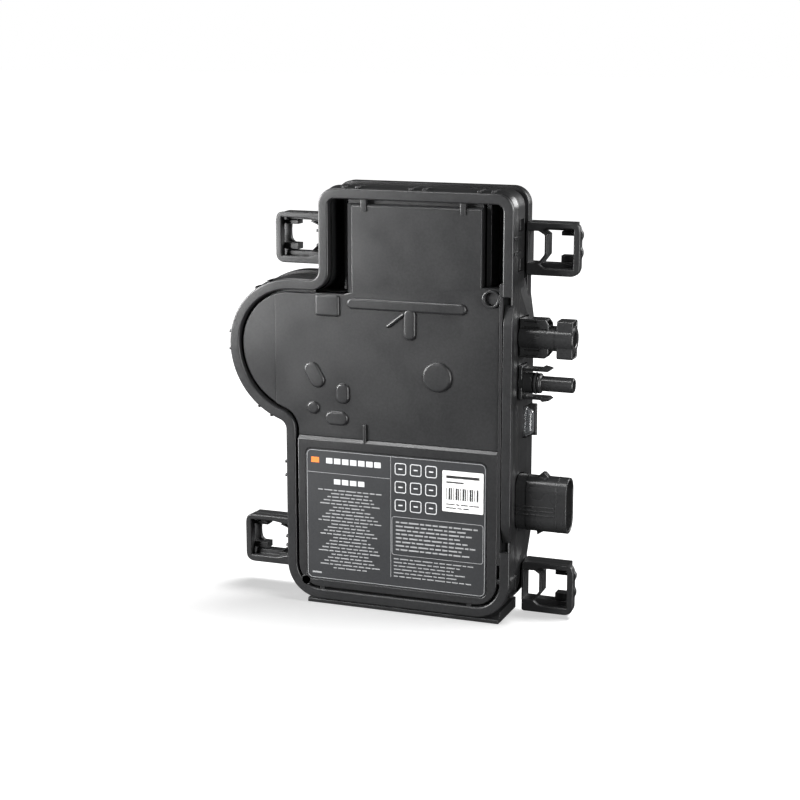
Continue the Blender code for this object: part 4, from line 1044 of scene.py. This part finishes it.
def make_fine_print():
    """Three fields of dashes in place of wording, the dividing lines and two frames."""
    fine = []
    for index in range(24):
        half = 17.0 - (index * 7) % 9
        fine += dashes(-27.0 - half, -27.0 + half, 59.6 - index * 1.75, 0.55, index)
    for index in range(8):
        fine += dashes(-2.4, 41.0 - (index * 7) % 11, 46.4 - index * 2.0, 0.75, index + 2)
    for index in range(6):
        fine += dashes(-3.5, 38.0 - (index * 5) % 12, 27.6 - index * 1.8, 0.55, index)
    fine += [(-50.0, -5.4, 68.4, 68.6), (-5.2, -5.0, 18.0, 80.0), (-47.5, -42.5, 16.0, 16.9)]
    frames = [
        thin_frame(-4.6, 43.0, 29.8, 49.6, 1.4, 0.25),
        thin_frame(-50.0, 43.9, 13.5, 79.9, 2.6, 0.25),
    ]
    return bars(fine) + frames


def make_sticker_print():
    """Two bars, a pattern of upright bars and two rows of dashes on the sticker."""
    rows = [(24.0, 41.0, 71.8, 73.2), (24.0, 33.0, 69.4, 70.2)]
    for index in range(14):
        left = 24.0 + index * 1.2
        rows.append((left, left + 0.35 + 0.3 * (index * 5 % 3), 61.0, 67.0))
    rows += dashes(24.0, 41.0, 58.4, 0.6, 1) + dashes(24.0, 36.0, 56.6, 0.6, 4)
    return bars(rows, *STICKER_PRINT)


def make_print():
    """Plain bars, dashes and frames on the label and the sticker, in place of any wording."""
    piece("label_print", make_headings(), PRINT)
    piece("label_fine_print", make_fine_print(), FINE_PRINT)
    piece("label_mark", bars([(-47.6, -43.4, 73.4, 76.2)]), MARK)
    piece("sticker_print", make_sticker_print(), SOOT)


# ---------------------------------------------------------------- studio


CAMERA_PLACE = (0.30921, -0.81543, 0.29060)
CAMERA_TILT = 78.0
CAMERA_TURN = 20.8
LENS = 81.0
SENSOR_WIDTH = 36.0
FLOOR_HALF = 8.0
FLOOR_COLOUR = (0.50, 0.50, 0.50)
FLOOR_GLOW = {"From Min": 0.22, "From Max": 0.8, "To Min": 0.58, "To Max": 1.0}  # by distance from the middle
AMBIENT = 0.04

# Area lights: place, target, size and power. The last lights the floor alone, the others all but the floor.
LIGHTS = {
    "key": ((-0.50, -0.42, 0.25), (0.0, 0.0, 0.36), (0.32, 0.32), 11.0),
    "left_strip": ((-0.95, 0.02, 0.36), (0.0, 0.0, 0.10), (0.22, 0.8), 9.0),
    "top_strip": ((-0.38, -0.22, 1.0), (0.0, 0.0, 0.15), (0.7, 0.12), 6.0),
    "back": ((0.80, 0.72, 0.55), (0.0, 0.0, 0.12), (0.6, 0.6), 16.0),
    "right_strip": ((0.75, -0.36, 0.14), (0.05, 0.0, 0.10), (0.45, 0.8), 11.0),
    "floor_fill": ((0.32, 0.26, 1.3), (0.0, 0.0, 0.0), (0.8, 0.8), 40.0),
}


def make_camera():
    """The camera that stands where the unit's outline, foot and ears line up as seen."""
    data = bpy.data.cameras.new("camera")
    data.lens = LENS
    data.sensor_width = SENSOR_WIDTH
    data.clip_start = 0.01
    data.clip_end = 30.0
    camera = bpy.data.objects.new("camera", data)
    camera.location = CAMERA_PLACE
    camera.rotation_euler = (math.radians(CAMERA_TILT), 0.0, math.radians(CAMERA_TURN))
    bpy.context.scene.collection.objects.link(camera)
    bpy.context.scene.camera = camera


def make_floor():
    """A white floor that glows more strongly away from the unit, so that only the shadow shows."""
    mesh = bpy.data.meshes.new("floor")
    half = FLOOR_HALF
    corners = [(-half, -half, 0), (half, -half, 0), (half, half, 0), (-half, half, 0)]
    mesh.from_pydata(corners, [], [(0, 1, 2, 3)])
    floor = bpy.data.objects.new("floor", mesh)
    bpy.context.scene.collection.objects.link(floor)
    finish, shader = start_material("floor_paint", FLOOR_COLOUR, 0.7)
    shader.inputs["Emission Color"].default_value = (1.0, 1.0, 1.0, 1.0)
    tree = finish.node_tree
    place = tree.nodes.new("ShaderNodeTexCoord")
    reach = tree.nodes.new("ShaderNodeVectorMath")
    reach.operation = "LENGTH"
    tree.links.new(place.outputs["Object"], reach.inputs[0])
    glow = tree.nodes.new("ShaderNodeMapRange")
    for socket, value in FLOOR_GLOW.items():
        glow.inputs[socket].default_value = value
    tree.links.new(reach.outputs["Value"], glow.inputs["Value"])
    tree.links.new(glow.outputs["Result"], shader.inputs["Emission Strength"])
    mesh.materials.append(finish)
    floor.visible_diffuse = False
    floor.visible_glossy = False
    return floor


def add_light(name, place, target, size, power):
    """A rectangular light turned towards its target."""
    data = bpy.data.lights.new(name, "AREA")
    data.shape = "RECTANGLE"
    data.size = size[0]
    data.size_y = size[1]
    data.energy = power
    light = bpy.data.objects.new(name, data)
    light.location = place
    bpy.context.scene.collection.objects.link(light)
    toward = [b - a for a, b in zip(place, target)]
    flat = math.hypot(toward[0], toward[1])
    light.rotation_euler = (math.atan2(flat, -toward[2]), 0.0, math.atan2(toward[1], toward[0]) - math.pi / 2)
    light.visible_camera = False
    return light


def make_lights(floor):
    """The lights of the table, linked to the floor alone or to all but the floor."""
    floor_only = bpy.data.collections.new("floor_only")
    floor_only.objects.link(floor)
    all_but_floor = bpy.data.collections.new("all_but_floor")
    all_but_floor.objects.link(floor)
    all_but_floor.collection_objects[0].light_linking.link_state = "EXCLUDE"
    for name, settings in LIGHTS.items():
        light = add_light(name, *settings)
        light.light_linking.receiver_collection = floor_only if name == "floor_fill" else all_but_floor


def make_world():
    """White behind everything for the camera, and a dim ambient light for the rest."""
    world = bpy.data.worlds.new("studio")
    bpy.context.scene.world = world
    world.use_nodes = True
    tree = world.node_tree
    dim = tree.nodes["Background"]
    white = tree.nodes.new("ShaderNodeBackground")
    for background, strength in ((dim, AMBIENT), (white, 1.0)):
        background.inputs["Color"].default_value = (1.0, 1.0, 1.0, 1.0)
        background.inputs["Strength"].default_value = strength
    ray = tree.nodes.new("ShaderNodeLightPath")
    mix = tree.nodes.new("ShaderNodeMixShader")
    tree.links.new(ray.outputs["Is Camera Ray"], mix.inputs[0])
    tree.links.new(dim.outputs[0], mix.inputs[1])
    tree.links.new(white.outputs[0], mix.inputs[2])
    tree.links.new(mix.outputs[0], tree.nodes["World Output"].inputs["Surface"])


def make_studio():
    """Camera, floor, lights and surroundings."""
    make_camera()
    make_lights(make_floor())
    make_world()
    bpy.context.scene.view_settings.view_transform = "Standard"


make_studio()
paint_nodes()
make_cover()
make_housing()
for ear_name, ear_shape in EARS.items():
    make_ear(ear_name, *ear_shape)
make_receptacle()
make_plug()
make_latches()
make_ac_hood()
make_window()
make_lower_port()
make_print()
